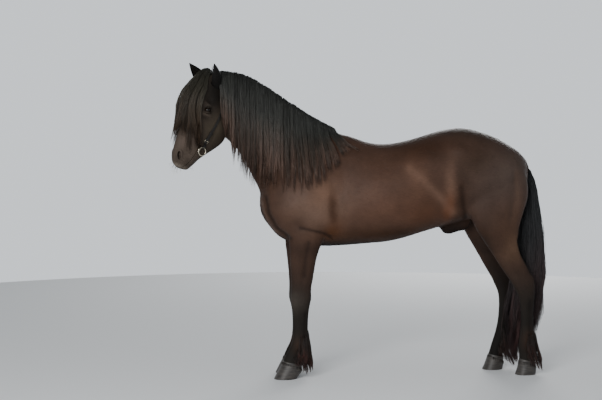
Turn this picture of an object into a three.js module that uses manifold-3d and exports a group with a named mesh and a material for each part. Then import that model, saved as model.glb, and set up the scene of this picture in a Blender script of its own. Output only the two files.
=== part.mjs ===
// A life-size still model of an Icelandic stallion standing square, head turned a little to its left, in a
// snaffle bridle without reins. The horse faces -X and its left side faces -Y. +Z is up and the soles stand
// on z = 0.
import * as THREE from 'three';
import { mergeVertices } from 'three/addons/utils/BufferGeometryUtils.js';
import Module from 'manifold-3d';

const wasm = await Module();
wasm.setup();

// Driving dimensions, in millimetres
const withersHeight = 1425;
const bodyLength = 1560;
const headLength = 560;
const seamGap = 0.35;
const hairGap = 0.7;
const eyeRadius = 21;
const bitRingRadius = 27;
const strapWidth = 17;
const strapThickness = 3.4;

// Pose of the head, in degrees, and where the poll sits over the forefeet
const headTurn = 30;
const headNod = 21;
const headRoll = 3;
const earLength = 148;

// How far each ear leans forward, splays outward and turns outward from the head, in degrees
const earPose = { left: [40, 34, 38], right: [50, 34, 38] };
const poll = new THREE.Vector3(-530, -62, withersHeight + 326);

// The tables below were taken off at these sizes, and follow the driving dimensions from them
const tall = withersHeight / 1425;
const long = bodyLength / 1560;
const face = headLength / 560;

// Shared shapes

// Rows between the given ones, each column on a Catmull-Rom curve
function refine(rows, steps) {
  const fine = [];
  for (let i = 0; i < rows.length - 1; i++) {
    const before = rows[Math.max(i - 1, 0)];
    const after = rows[Math.min(i + 2, rows.length - 1)];
    for (let step = 0; step < steps; step++) {
      const t = step / steps;
      fine.push(rows[i].map((value, column) => {
        const next = rows[i + 1][column];
        const slopeIn = (next - before[column]) / 2;
        const slopeOut = (after[column] - value) / 2;
        const cubic = 2 * value - 2 * next + slopeIn + slopeOut;
        const square = -3 * value + 3 * next - 2 * slopeIn - slopeOut;
        return ((cubic * t + square) * t + slopeIn) * t + value;
      }));
    }
  }
  fine.push(rows[rows.length - 1]);
  return fine;
}

// An oval section between a leading and a trailing point of the profile. Each row is: lead x, lead z, trail
// x, trail z, half width at the lead, half width at the trail, squareness (2 is an ellipse), sideways place,
// turn.
function section(row, sides) {
  const [leadX, leadZ, trailX, trailZ, leadWidth, trailWidth, square, aside = 0, turn = 0] = row;
  const middle = new THREE.Vector3((leadX + trailX) / 2, aside, (leadZ + trailZ) / 2);
  const half = new THREE.Vector3((leadX - trailX) / 2, 0, (leadZ - trailZ) / 2);
  const yaw = new THREE.Matrix4().makeRotationZ(THREE.MathUtils.degToRad(turn));
  const points = [];
  for (let i = 0; i < sides; i++) {
    const angle = (i / sides) * 2 * Math.PI;
    const bend = (value) => Math.sign(value) * Math.abs(value) ** (2 / square);
    const along = bend(Math.sin(angle));
    const width = THREE.MathUtils.lerp(trailWidth, leadWidth, (along + 1) / 2);
    const offset = half.clone().multiplyScalar(along);
    offset.y = bend(Math.cos(angle)) * width;
    points.push(offset.applyMatrix4(yaw).add(middle));
  }
  return points;
}

// A closed geometry through loops of points, any of which may be a single point at either end. Open ends are
// closed by a fan, or by a ladder for a flat loop.
function stitch(loops, ends = 'fan') {
  const points = loops.flat();
  const starts = loops.map((loop, row) => loops.slice(0, row).reduce((sum, { length }) => sum + length, 0));
  const at = (row, i) => starts[row] + (i % loops[row].length);
  const faces = [];
  for (let row = 0; row < loops.length - 1; row++) {
    const sides = Math.max(loops[row].length, loops[row + 1].length);
    for (let i = 0; i < sides; i++) {
      const [a, b, c, d] = [at(row, i), at(row, i + 1), at(row + 1, i + 1), at(row + 1, i)];
      if (a !== b) faces.push([a, b, c]);
      if (c !== d) faces.push([a, c, d]);
    }
  }
  const close = (row, flip) => {
    const sides = loops[row].length;
    if (sides === 1) return;
    const add = (a, b, c) => faces.push(flip ? [a, c, b] : [a, b, c]);
    if (ends === 'ladder') {
      for (let i = 0; i < sides / 2 - 1; i++) {
        const [a, b, c, d] = [i, i + 1, sides - 2 - i, sides - 1 - i].map((k) => at(row, k));
        add(a, c, b);
        add(a, d, c);
      }
      return;
    }
    const centre = loops[row].reduce((sum, p) => sum.add(p), new THREE.Vector3()).divideScalar(sides);
    points.push(centre);
    for (let i = 0; i < sides; i++) add(at(row, i), points.length - 1, at(row, i + 1));
  };
  close(0, false);
  close(loops.length - 1, true);
  const geometry = new THREE.BufferGeometry().setFromPoints(points);
  geometry.setIndex(faces.flat());
  return geometry;
}

// A manifold solid from a closed geometry, whichever way its faces were wound, with corners closer than the
// weld as one
function solid(geometry, weld = 1e-3) {
  const bare = geometry.clone();
  bare.deleteAttribute('normal');
  bare.deleteAttribute('uv');
  const merged = mergeVertices(bare, weld);
  const vertProperties = new Float32Array(merged.attributes.position.array);
  const faces = [];
  const corners = merged.index.array;
  for (let i = 0; i < corners.length; i += 3) {
    const [a, b, c] = corners.slice(i, i + 3);
    if (a !== b && b !== c && c !== a) faces.push(a, b, c);
  }
  const triVerts = new Uint32Array(faces);
  const make = () => new wasm.Manifold(new wasm.Mesh({ numProp: 3, vertProperties, triVerts }));
  const made = make();
  if (made.volume() > 0) return made;
  for (let i = 0; i < triVerts.length; i += 3) {
    [triVerts[i], triVerts[i + 1]] = [triVerts[i + 1], triVerts[i]];
  }
  return make();
}

const unite = (parts) => wasm.Manifold.union(parts);

// A solid with its slivers welded away, as coarsely as it stays closed
function welded(shape) {
  for (const weld of [0.2, 0.1, 0.05, 0.02]) {
    try {
      return solid(geometryOf(shape), weld);
    } catch {
      continue;
    }
  }
  return solid(geometryOf(shape));
}

// The largest closed surface of a solid, welded, without scraps or sealed hollows
function largest(shape) {
  return welded(shape).decompose().reduce((best, part) => (part.volume() > best.volume() ? part : best));
}

function loft(rows, sides, steps = 1) {
  return solid(stitch(refine(rows, steps).map((row) => section(row, sides))));
}

function placed(geometry, ...matrices) {
  const made = geometry.clone();
  matrices.forEach((matrix) => made.applyMatrix4(matrix));
  return solid(made);
}

const shift = (x, y, z) => new THREE.Matrix4().makeTranslation(x, y, z);
const spin = (axis, degrees) => {
  const turn = THREE.MathUtils.degToRad(degrees);
  return new THREE.Matrix4()[`makeRotation${axis}`](turn);
};

// A trunk whose flanks swell or sink at each muscle: x, z, reach along, reach up, backward tilt, amount
function swollen(rows, sides, muscles) {
  const loops = rows.map((row) => section(row, sides));
  for (const point of loops.flat()) {
    const side = THREE.MathUtils.smoothstep(Math.abs(point.y), 25, 110) * Math.sign(point.y);
    for (const [x, z, along, up, tilt, amount] of muscles) {
      const away = new THREE.Vector2(point.x - x * long, point.z - z * tall)
        .rotateAround(new THREE.Vector2(), THREE.MathUtils.degToRad(tilt));
      point.y += side * amount * Math.exp(-((away.x / along) ** 2) - (away.y / up) ** 2);
    }
  }
  return solid(stitch(loops));
}

// Body forms

const scaled = (rows) => rows.map(([ax, az, bx, bz, ...rest]) =>
  [ax * long, az * tall, bx * long, bz * tall, ...rest]);

const trunkRows = scaled([
  [-236, 1062, -236, 985, 40, 46, 2],
  [-227, 1115, -225, 925, 96, 96, 2],
  [-192, 1205, -186, 868, 142, 152, 2.1],
  [-120, 1300, -112, 806, 165, 200, 2.1],
  [-30, 1370, -25, 776, 160, 232, 2.1],
  [80, 1410, 80, 762, 150, 256, 2],
  [190, 1422, 190, 761, 148, 272, 2],
  [290, 1402, 290, 767, 176, 287, 2.05],
  [390, 1368, 390, 775, 218, 298, 2.15],
  [490, 1356, 490, 783, 244, 302, 2.2],
  [590, 1368, 590, 803, 258, 298, 2.25],
  [690, 1393, 690, 833, 262, 286, 2.3],
  [790, 1424, 790, 862, 262, 264, 2.35],
  [880, 1443, 880, 884, 255, 247, 2.35],
  [960, 1447, 960, 904, 250, 238, 2.3],
  [1060, 1425, 1060, 932, 240, 232, 2.3],
  [1150, 1391, 1150, 966, 222, 222, 2.3],
  [1230, 1346, 1230, 1000, 190, 196, 2.2],
  [1290, 1306, 1290, 1040, 142, 160, 2.1],
  [1322, 1264, 1322, 1090, 90, 105, 2],
  [1337, 1215, 1337, 1140, 35, 40, 2],
]);

const neckRows = scaled([
  [330, 1372, 60, 860, 70, 150, 2, 0, 0],
  [250, 1410, -110, 885, 62, 184, 2, 0, 0],
  [160, 1448, -214, 985, 56, 174, 2, 0, 0],
  [57, 1503, -246, 1090, 50, 150, 2, 0, 0],
  [-78, 1586, -293, 1187, 46, 126, 2, -4, 3],
  [-200, 1668, -345, 1287, 44, 108, 2, -14, 8],
  [-310, 1730, -396, 1352, 44, 96, 2, -30, 14],
  [-410, 1757, -446, 1400, 46, 88, 2, -46, 20],
  [-490, 1760, -486, 1470, 46, 66, 2, -60, 26],
]);

// Drop from the poll, front of the face, back of the jaw, half width at the face and at the jaw, squareness,
// all in the head's own frame, where the face looks along -X and the muzzle hangs along -Z
const headProfile = [
  [-13, 28, -46, 36, 36, 2.1],
  [0, 40, -68, 52, 54, 2.2],
  [33, 58, -100, 68, 70, 2.3],
  [75, 73, -146, 80, 76, 2.4],
  [121, 82, -184, 90, 77, 2.5],
  [168, 86, -206, 95, 75, 2.6],
  [200, 87, -216, 93, 73, 2.6],
  [242, 84, -224, 78, 72, 2.5],
  [288, 82, -228, 64, 69, 2.4],
  [335, 79, -216, 55, 60, 2.4],
  [381, 76, -182, 48, 50, 2.4],
  [428, 73, -142, 46, 42, 2.3],
  [470, 70, -108, 50, 39, 2.3],
  [507, 63, -86, 52, 38, 2.3],
  [535, 50, -67, 46, 35, 2.2],
  [552, 29, -46, 34, 27, 2.1],
  [560, 8, -22, 17, 15, 2],
];
const headRows = headProfile.map(([drop, front, back, ...rest]) => [-front, -drop, -back, -drop, ...rest]);

// Down the left foreleg to the sole: front edge, back edge, half widths, squareness and distance from the
// midline
const foreRows = [
  [-70, 960, 140, 960, 62, 62, 2.2, 146],
  [-88, 880, 130, 880, 64, 66, 2.2, 143],
  [-86, 800, 110, 800, 61, 62, 2.2, 136],
  [-80, 740, 92, 740, 58, 56, 2.2, 130],
  [-76, 660, 72, 660, 52, 48, 2.2, 125],
  [-73, 580, 58, 580, 45, 42, 2.2, 121],
  [-72, 520, 48, 520, 43, 41, 2.3, 119],
  [-73, 480, 46, 480, 47, 45, 2.5, 118],
  [-72, 440, 42, 440, 48, 45, 2.6, 118],
  [-65, 400, 36, 400, 42, 38, 2.5, 117],
  [-61, 360, 32, 360, 32, 29, 2.3, 117],
  [-60, 310, 30, 310, 30, 27, 2.2, 116],
  [-62, 260, 31, 260, 33, 30, 2.2, 115],
  [-68, 215, 34, 215, 40, 34, 2.2, 115],
  [-77, 185, 31, 188, 40, 35, 2.2, 115],
  [-97, 148, 8, 152, 34, 32, 2.2, 114],
  [-112, 118, -8, 118, 37, 35, 2.2, 114],
  [-122, 92, -8, 62, 47, 42, 2.1, 114],
  [-127, 80, -7, 44, 52, 46, 2.1, 114],
  [-148, 42, -20, 24, 57, 50, 2.1, 114],
  [-170, 0, -38, 0, 62, 52, 2.1, 114],
];

const hindRows = [
  [905, 1200, 1300, 1200, 88, 78, 2.2, 130],
  [915, 1120, 1318, 1120, 96, 84, 2.2, 134],
  [930, 1040, 1316, 1040, 100, 82, 2.2, 136],
  [952, 970, 1296, 970, 98, 76, 2.2, 136],
  [988, 900, 1276, 900, 88, 66, 2.2, 134],
  [1030, 830, 1264, 830, 74, 55, 2.2, 131],
  [1072, 770, 1268, 770, 64, 46, 2.2, 127],
  [1112, 710, 1288, 710, 55, 38, 2.2, 122],
  [1152, 650, 1322, 650, 48, 32, 2.3, 118],
  [1190, 595, 1352, 592, 45, 28, 2.4, 115],
  [1222, 550, 1367, 548, 46, 27, 2.4, 112],
  [1250, 505, 1372, 505, 45, 28, 2.4, 110],
  [1270, 460, 1370, 460, 38, 29, 2.3, 108],
  [1281, 410, 1367, 410, 32, 28, 2.2, 107],
  [1286, 350, 1364, 350, 31, 27, 2.2, 106],
  [1287, 290, 1366, 290, 32, 29, 2.2, 105],
  [1282, 235, 1374, 235, 38, 34, 2.2, 105],
  [1276, 198, 1376, 200, 41, 36, 2.2, 105],
  [1266, 158, 1358, 160, 36, 33, 2.2, 104],
  [1259, 116, 1344, 114, 38, 35, 2.2, 104],
  [1251, 80, 1350, 52, 47, 42, 2.1, 104],
  [1248, 68, 1353, 36, 51, 45, 2.1, 104],
  [1240, 36, 1352, 18, 55, 47, 2.1, 104],
  [1228, 0, 1350, 0, 58, 49, 2.1, 104],
];

// How far each foot stands behind its left fellow, the height that its leg swings from, and how far back the left
// foot bends below its fetlock
const foreSwing = { left: 0, right: 30, from: 900, bend: 0 };
const hindSwing = { left: 0, right: -125, from: 1150, bend: 29 };
const bendHeights = [60, 210];

// How far back a leg stands at one height
function swung(swing, side, z) {
  const step = side < 0 ? swing.left : swing.right;
  const bend = side < 0 ? swing.bend * (1 - THREE.MathUtils.smoothstep(z, ...bendHeights)) : 0;
  return (step * Math.max(0, swing.from - z)) / swing.from + bend;
}

function legRows(rows, side, swing) {
  return scaled(rows.map(([ax, az, bx, bz, wa, wb, square, aside]) =>
    [ax + swung(swing, side, az), az, bx + swung(swing, side, bz), bz, wa, wb, square, aside * side]));
}

// Swellings and hollows of the trunk: shoulder, upper arm, hollow behind it, flank, haunch, loin, point of the
// hip
const trunkMuscles = [
  [20, 1090, 95, 210, 38, 26],
  [60, 915, 95, 85, 0, 20],
  [215, 1080, 60, 190, 15, -10],
  [-150, 960, 80, 80, 0, 12],
  [850, 1120, 70, 130, -10, -12],
  [1110, 1190, 160, 120, 0, 14],
  [905, 1330, 70, 40, 0, 8],
];

const sheathRows = scaled([
  [826, 880, 826, 852, 20, 16, 2],
  [836, 896, 842, 826, 34, 26, 2],
  [880, 905, 880, 818, 40, 32, 2],
  [930, 915, 925, 836, 40, 34, 2],
  [985, 930, 975, 842, 36, 34, 2],
  [1010, 940, 1004, 872, 26, 24, 2],
]);

// The frame of a flat cut, centred on a point of the profile, with its length tipped about Y
const cutAt = (x, z, tip, y = 0) => shift(x, y, z).multiply(spin('Y', tip));

// The frame of a cut that spans the profile from one point to another
function cutThrough(fromX, fromZ, toX, toZ, y = 0) {
  const [run, rise] = [(toX - fromX) * long, (toZ - fromZ) * tall];
  const tip = -THREE.MathUtils.radToDeg(Math.atan2(rise, run));
  return cutAt(((fromX + toX) / 2) * long, ((fromZ + toZ) / 2) * tall, tip, y);
}

// The thin plate that a cut takes out, and the half of space to one side of it, plate and all
const plate = (frame, length, width) => placed(new THREE.BoxGeometry(length, width, seamGap), frame);
const beyond = (frame, way) =>
  placed(new THREE.BoxGeometry(3000, 1200, 2000), shift(0, 0, way * (1000 - seamGap / 2)), frame);

// The mesh of a solid, with its corners welded
function geometryOf(shape) {
  const { vertProperties, triVerts, numProp } = shape.getMesh();
  const geometry = new THREE.BufferGeometry();
  const positions = new Float32Array((vertProperties.length / numProp) * 3);
  for (let i = 0; i < positions.length / 3; i++) {
    for (let axis = 0; axis < 3; axis++) positions[i * 3 + axis] = vertProperties[i * numProp + axis];
  }
  geometry.setAttribute('position', new THREE.BufferAttribute(positions, 3));
  geometry.setIndex([...triVerts]);
  return geometry;
}

// The same solid a little larger all round, to keep its neighbours clear of it
function swell(shape, gap = seamGap) {
  const geometry = mergeVertices(geometryOf(shape), 1e-3);
  geometry.computeVertexNormals();
  const { position, normal } = geometry.attributes;
  for (let i = 0; i < position.count; i++) {
    position.setXYZ(i, position.getX(i) + normal.getX(i) * gap, position.getY(i) + normal.getY(i) * gap,
      position.getZ(i) + normal.getZ(i) * gap);
  }
  return solid(geometry);
}

// Where a ray first meets a solid
function feeler(shape) {
  const mesh = new THREE.Mesh(geometryOf(shape), new THREE.MeshStandardMaterial());
  mesh.updateMatrixWorld();
  const caster = new THREE.Raycaster();
  return (from, way) => {
    caster.set(from, way.clone().normalize());
    const [hit] = caster.intersectObject(mesh, false);
    return hit ? hit.point : null;
  };
}

// Head

const headPlace = shift(poll.x * long, poll.y, poll.z * tall)
  .multiply(spin('Z', headTurn)).multiply(spin('Y', headNod)).multiply(spin('X', headRoll))
  .multiply(new THREE.Matrix4().makeScale(face, face, face));
const onHead = (drop, front, aside) => new THREE.Vector3(-front, aside, -drop);

function ball(centre, radii, sides, ...turns) {
  const shape = new THREE.SphereGeometry(1, sides, Math.round(sides * 0.7))
    .applyMatrix4(new THREE.Matrix4().makeScale(...radii));
  return placed(shape, ...turns, shift(centre.x, centre.y, centre.z));
}

// A round bar along a closed or open curve
function tube(points, radius, steps, sides, closed = true) {
  const curve = new THREE.CatmullRomCurve3(points, closed, 'catmullrom', 0.5);
  if (closed) return solid(new THREE.TubeGeometry(curve, steps, radius, sides, true));
  const frames = curve.computeFrenetFrames(steps, false);
  const loops = [];
  for (let i = 0; i <= steps; i++) {
    const centre = curve.getPointAt(i / steps);
    const loop = [];
    for (let k = 0; k < sides; k++) {
      const angle = (k / sides) * 2 * Math.PI;
      loop.push(centre.clone().addScaledVector(frames.normals[i], Math.cos(angle) * radius)
        .addScaledVector(frames.binormals[i], Math.sin(angle) * radius));
    }
    loops.push(loop);
  }
  return solid(stitch(loops));
}

const eyeCentre = (side) => onHead(199, -9, side * 74);

// The rim of an opening: an oval of given half axes, dished back by its distance from the middle
function rim(centre, out, up, half, dish, radius, steps) {
  const across = new THREE.Vector3().crossVectors(up, out).normalize();
  const rise = new THREE.Vector3().crossVectors(out, across).normalize();
  const points = [];
  for (let i = 0; i < 10; i++) {
    const angle = (i / 10) * 2 * Math.PI;
    const [a, b] = [Math.cos(angle) * half[0], Math.sin(angle) * half[1]];
    points.push(centre.clone().addScaledVector(across, a).addScaledVector(rise, b)
      .addScaledVector(out, dish(Math.hypot(a, b))));
  }
  return tube(points, radius, steps, 5);
}

// The line of the mouth, from its corner down to the front of the lips: drop and front
const mouthLine = [[424, -56], [460, -48], [496, -36], [528, -20], [550, -5], [580, 4]];
const bitPlace = { drop: 424, front: -56, reach: 56 };

function mouthCut() {
  const loops = mouthLine.map(([drop, front], i) => {
    const [nextDrop, nextFront] = mouthLine[Math.min(i + 1, mouthLine.length - 1)];
    const [lastDrop, lastFront] = mouthLine[Math.max(i - 1, 0)];
    const across = new THREE.Vector2(nextDrop - lastDrop, nextFront - lastFront)
      .rotateAround(new THREE.Vector2(), Math.PI / 2)
      .setLength(0.9);
    return [[-90, -1], [90, -1], [90, 1], [-90, 1]].map(([aside, k]) =>
      onHead(drop + across.x * k, front + across.y * k, aside));
  });
  return solid(stitch(loops, 'ladder'));
}

function headForm() {
  const parts = [loft(headRows, 18)];
  const cuts = [mouthCut()];
  for (const side of [-1, 1]) {
    const eye = eyeCentre(side);
    const out = new THREE.Vector3(-0.3, side, 0.06).normalize();
    const upward = new THREE.Vector3(-0.25, 0, 1);
    const lids = (r) => Math.sqrt(Math.max(0, 22 ** 2 - r ** 2));
    parts.push(ball(onHead(171, -4, side * 67), [44, 26, 24], 8, spin('Y', 20)));
    parts.push(rim(eye, out, upward, [26, 17], lids, 6.5, 14));
    cuts.push(ball(eye, [1, 1, 1].map(() => eyeRadius + seamGap), 10));
    const nose = onHead(488, 44, side * 37);
    const flare = new THREE.Vector3(-0.75, side, -0.1).normalize();
    parts.push(rim(nose, flare, new THREE.Vector3(-0.5, 0, 1), [10, 19], () => 1, 5.5, 12));
    const passage = nose.clone().addScaledVector(flare, -6);
    cuts.push(ball(passage, [9, 21, 16], 8, spin('Z', side * 50), spin('Y', -20)));
  }
  const bore = new THREE.CylinderGeometry(6 + seamGap, 6 + seamGap, 200, 8);
  cuts.push(placed(bore, shift(-bitPlace.front, 0, -bitPlace.drop)));
  return unite(parts).subtract(unite(cuts));
}
const headShape = headForm();

// A solid of the head's own frame set in the horse's
function placedSolid(shape) {
  return placed(geometryOf(shape), headPlace);
}

// An ear: a pointed cup, rooted in the head, that opens forward and outward
function ear(side, spare = 0) {
  const [lean, splay, turn] = earPose[sideName(side)];
  const cup = (inset, push, rows) => loft(rows.map(([height, wide, deep, bow]) => {
    const [w, d] = [wide - inset, deep - inset];
    const x = bow - push * d;
    return [x - d, height, x + d, height, w, w, 2, 0];
  }), 8);
  const outer = cup(-spare, 0, [
    [-34, 23, 23, 0], [0, 25, 25, 0], [30, 30, 27, 1], [62, 30, 25, 3], [95, 23, 18, 4], [124, 13, 10, 3],
    [earLength + spare, 1.5, 1.5, 0],
  ]);
  const inner = cup(4, 0.42, [
    [16, 14, 14, 0], [34, 28, 27, 1], [62, 30, 26, 3], [95, 23, 19, 4], [124, 10, 9, 3],
  ]);
  const root = onHead(40, -18, side * 59);
  const stand = shift(root.x, root.y, root.z).multiply(spin('X', -side * splay)).multiply(spin('Y', -lean))
    .multiply(spin('Z', side * turn));
  const place = headPlace.clone().multiply(stand);
  if (spare) return placed(geometryOf(outer), place);
  return largest(placed(geometryOf(outer.subtract(inner)), place).subtract(bodyNear));
}

// The whole body, parted by thin cuts

const legSides = 10;
const bodyParts = [
  swollen(trunkRows, 22, trunkMuscles),
  loft(neckRows, 16, 2),
  loft(sheathRows, 10),
  placedSolid(headShape),
];
for (const side of [-1, 1]) {
  bodyParts.push(loft(legRows(foreRows, side, foreSwing), legSides));
  bodyParts.push(loft(legRows(hindRows, side, hindSwing), legSides));
}

// Between neck and torso, and, behind the ears and jaw, between head and neck. Both frames look to the front.
const neckFrame = cutThrough(-250, 1060, 215, 1455);
const headFrame = headPlace.clone().multiply(shift(172, 0, -125)).multiply(spin('Y', -119.5));

const cuts = [
  plate(neckFrame, 900, 700),
  plate(headFrame, 520, 400),
  plate(cutAt(20 * long, 752 * tall, 0), 300, 520),
  plate(cutAt(0, 455 * tall, 0), 200, 520),
  plate(cutAt(0, 236 * tall, 0), 200, 520),
  plate(cutAt(1100 * long, 845 * tall, 0), 480, 640),
  plate(cutAt(1270 * long, 530 * tall, 0), 460, 520),
  plate(cutAt(1270 * long, 252 * tall, 0), 460, 520),
];
for (const [fore, side] of [[true, -1], [true, 1], [false, -1], [false, 1]]) {
  const [toe, toeHeight, heel, heelHeight] = fore ? [-124, 88, -8, 50] : [1250, 75, 1351, 42];
  const step = swung(fore ? foreSwing : hindSwing, side, heelHeight);
  const coronet = cutThrough(toe + step, toeHeight, heel + step, heelHeight, (fore ? 114 : 104) * side);
  cuts.push(plate(coronet, 240, 170));
}

const whole = unite(bodyParts);
const body = whole.subtract(unite(cuts));

// The whole body a little larger all round, form by form, to keep what grows from it clear of it
const bodyWide = (gap) => unite(bodyParts.map((part) => swell(part, gap)));
const bodyNear = bodyWide(seamGap);
const bodyClear = bodyWide(hairGap);

const middleOf = (shape) => {
  const { min, max } = shape.boundingBox();
  return new THREE.Vector3(...min).add(new THREE.Vector3(...max)).multiplyScalar(0.5);
};
const pieces = body.decompose().map((shape) => ({ shape, middle: middleOf(shape) }));

function pieceAt(x, y, z) {
  const seed = new THREE.Vector3(x * long, y, z * tall);
  const closer = (a, b) => a.middle.distanceTo(seed) < b.middle.distanceTo(seed);
  return pieces.reduce((best, piece) => (closer(piece, best) ? piece : best)).shape;
}

const nodes = new Map();
const sideName = (side) => (side < 0 ? 'left' : 'right');
nodes.set('torso', pieceAt(560, 0, 1150));
nodes.set('neck', pieceAt(-150, 0, 1400));
nodes.set('head', pieceAt(-560, -60, 1550));
for (const side of [-1, 1]) {
  const name = sideName(side);
  nodes.set(`forearm_${name}`, pieceAt(0, side * 120, 600));
  nodes.set(`fore_cannon_${name}`, pieceAt(0, side * 117, 345));
  nodes.set(`fore_pastern_${name}`, pieceAt(-45, side * 115, 150));
  nodes.set(`fore_hoof_${name}`, pieceAt(-90, side * 114, 40));
  const step = side < 0 ? hindSwing.left : hindSwing.right;
  nodes.set(`hind_leg_${name}`, pieceAt(1190 + step * 0.4, side * 125, 690));
  nodes.set(`hind_cannon_${name}`, pieceAt(1310 + step * 0.66, side * 107, 390));
  nodes.set(`hind_pastern_${name}`, pieceAt(1315 + step * 0.85, side * 104, 165));
  nodes.set(`hind_hoof_${name}`, pieceAt(1290 + step * 0.95, side * 104, 45));
}

const colours = {
  skin: 0x3a2d26, horn: 0x4a4641, hair: 0x2a2622, eye: 0x15100c, leather: 0x18130f, steel: 0x9fa3a6,
};
const finish = { horn: 0.55, eye: 0.1, leather: 0.5, steel: 0.25 };
const kindOf = (name) => (name.includes('hoof') ? 'horn' : name.startsWith('eye') ? 'eye'
  : name.startsWith('tail') ? 'hair'
  : name.includes('strap') ? 'leather' : name.includes('bit') ? 'steel' : 'skin');

for (const side of [-1, 1]) {
  nodes.set(`ear_${sideName(side)}`, ear(side));
  const shape = ball(eyeCentre(side), [eyeRadius, eyeRadius, eyeRadius], 10);
  nodes.set(`eye_${sideName(side)}`, placed(geometryOf(shape), headPlace));
}

// Hair

let seed = 23;
function random(low, high) {
  seed = (seed * 16807) % 2147483647;
  return low + (high - low) * (seed / 2147483647);
}

const mix = THREE.MathUtils.lerp;

// A flat, tapered lock of hair along a path, with the way that its flat face looks at each point
function lock(path, outs, width, thickness) {
  const last = path.length - 1;
  return solid(stitch(path.map((point, i) => {
    if (i === last) return [point];
    const t = i / last;
    const way = path[Math.min(i + 1, last)].clone().sub(path[Math.max(i - 1, 0)]).normalize();
    const across = new THREE.Vector3().crossVectors(way, outs[i]).normalize();
    const out = new THREE.Vector3().crossVectors(across, way).normalize();
    const taper = Math.min(1, 0.4 + 2.2 * t) * (1 - 0.72 * Math.max(0, (t - 0.4) / 0.6) ** 1.6);
    const [w, d] = [(width / 2) * taper, (thickness / 2) * Math.min(1, 1.25 * taper)];
    return [[w, 0], [0, d], [-w, 0], [0, -d]].map(([a, b]) =>
      point.clone().addScaledVector(across, a).addScaledVector(out, b));
  }), 'ladder'));
}

// The value of a table of rows at a place in its first column
function lookUp(rows, x) {
  const i = Math.min(rows.length - 2, Math.max(0, rows.findIndex((row) => row[0] > x) - 1));
  const t = THREE.MathUtils.clamp((x - rows[i][0]) / (rows[i + 1][0] - rows[i][0]), 0, 1);
  return rows[i].map((value, column) => mix(value, rows[i + 1][column], t));
}

const bodyHit = feeler(whole);

// Along the crest from the poll to the withers: root x, then where the locks of the left and right side end
// (x, z)
const maneTips = [
  [-462, -452, 1400, -455, 1430],
  [-430, -424, 1350, -422, 1360],
  [-370, -368, 1265, -380, 1255],
  [-310, -318, 1180, -350, 1168],
  [-250, -262, 1108, -306, 1108],
  [-190, -198, 1088, -258, 1088],
  [-110, -115, 1095, -160, 1092],
  [-30, -15, 1096, -20, 1096],
  [50, 75, 1120, 75, 1120],
  [110, 160, 1205, 160, 1205],
  [155, 240, 1285, 240, 1285],
  [188, 330, 1345, 330, 1345],
].map(([root, leftX, leftZ, rightX, rightZ]) =>
  [root * long, leftX * long, leftZ * tall, rightX * long, rightZ * tall]);

const maneLock = { perLayer: 13, width: 47, thickness: 8 };

function maneLocks(side) {
  const locks = [];
  // Offset along the crest, lift off the neck, and root and shoulder of the lock: aside and above the crest
  const layers = [[0.5, 15, [14, -12], [28, -6]], [0, 28, [7, 8], [36, 22]]];
  for (const [offset, lift, root, shoulder] of layers) {
    for (let k = 0; k < maneLock.perLayer; k++) {
      const u = (k + offset + random(-0.06, 0.06)) / (maneLock.perLayer - 0.4);
      const x = mix(maneTips[0][0], maneTips[maneTips.length - 1][0], Math.min(1, u));
      const row = lookUp(maneTips, x);
      const [tipX, tipZ] = side < 0 ? row.slice(1, 3) : row.slice(3, 5);
      const end = new THREE.Vector3(tipX + random(-9, 9), 0, tipZ + random(-22, 30));
      const [, middle, crest] = lookUp(crestRows, x);
      let y = middle;
      const sway = random(-6, 6);
      const path = [];
      const outs = [];
      for (const t of [0, 0.07, 0.22, 0.45, 0.74, 1]) {
        const bow = Math.sin(Math.PI * t) * sway;
        const place = new THREE.Vector3(mix(x, end.x, t ** 1.3) + bow, 0, mix(crest, end.z, t));
        if (t < 0.1) {
          const [aside, above] = t === 0 ? root : shoulder;
          place.set(x, middle + side * aside, crest + above);
        } else {
          const beside = new THREE.Vector3(place.x, side * 900, place.z);
          const hit = bodyHit(beside, new THREE.Vector3(0, -side, 0));
          const outward = hit ? Math.max(side * hit.y, side * y - 26) : side * y - 4;
          y = side * outward;
          place.y = y + side * lift;
        }
        path.push(place);
        const rise = Math.max(0, 1 - t * 4);
        outs.push(new THREE.Vector3(0, side * (1 - rise * 0.6), rise).normalize());
      }
      locks.push(lock(path, outs, maneLock.width * random(0.9, 1.12), maneLock.thickness));
    }
  }
  return locks;
}

// The roots of the mane, a ridge along the crest
function maneRidge() {
  const loops = [];
  for (let k = 0; k <= 12; k++) {
    const x = mix(maneTips[0][0] - 8, 205 * long, k / 12);
    const [, middle, crest] = lookUp(crestRows, x);
    const thin = k === 0 || k === 12 ? 0.4 : 1;
    const loop = [];
    for (let i = 0; i < 8; i++) {
      const angle = (i / 8) * 2 * Math.PI;
      const thick = 34 + 8 * Math.sin(Math.PI * (k / 12));
      const [across, up] = [Math.cos(angle) * 29, Math.sin(angle) * thick];
      loop.push(new THREE.Vector3(x, middle + across * thin, crest - 8 + up * thin));
    }
    loops.push(loop);
  }
  return solid(stitch(loops));
}

// Where the crest runs: x, how far to one side, height
const crestRows = refine(neckRows, 3).map((row) => section(row, 4)[1]).map(({ x, y, z }) => [x, y, z])
  .sort((a, b) => a[0] - b[0]);

// The forelock falls from between the ears over the forehead, in the head's frame, out of a low dome of roots
const forelock = { perLayer: 6, width: 35, thickness: 8, length: 385 };
const forelockDome = loft([
  [22, 12, 8, 12, 10, 10, 2],
  [12, 30, 22, -30, 34, 30, 2],
  [-34, 24, 10, -44, 44, 40, 2],
  [-72, -10, -30, -44, 52, 48, 2],
  [-92, -62, -58, -66, 54, 50, 2],
  [-104, -110, -78, -112, 50, 46, 2],
  [-98, -138, -86, -138, 24, 24, 2],
], 10);

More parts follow.
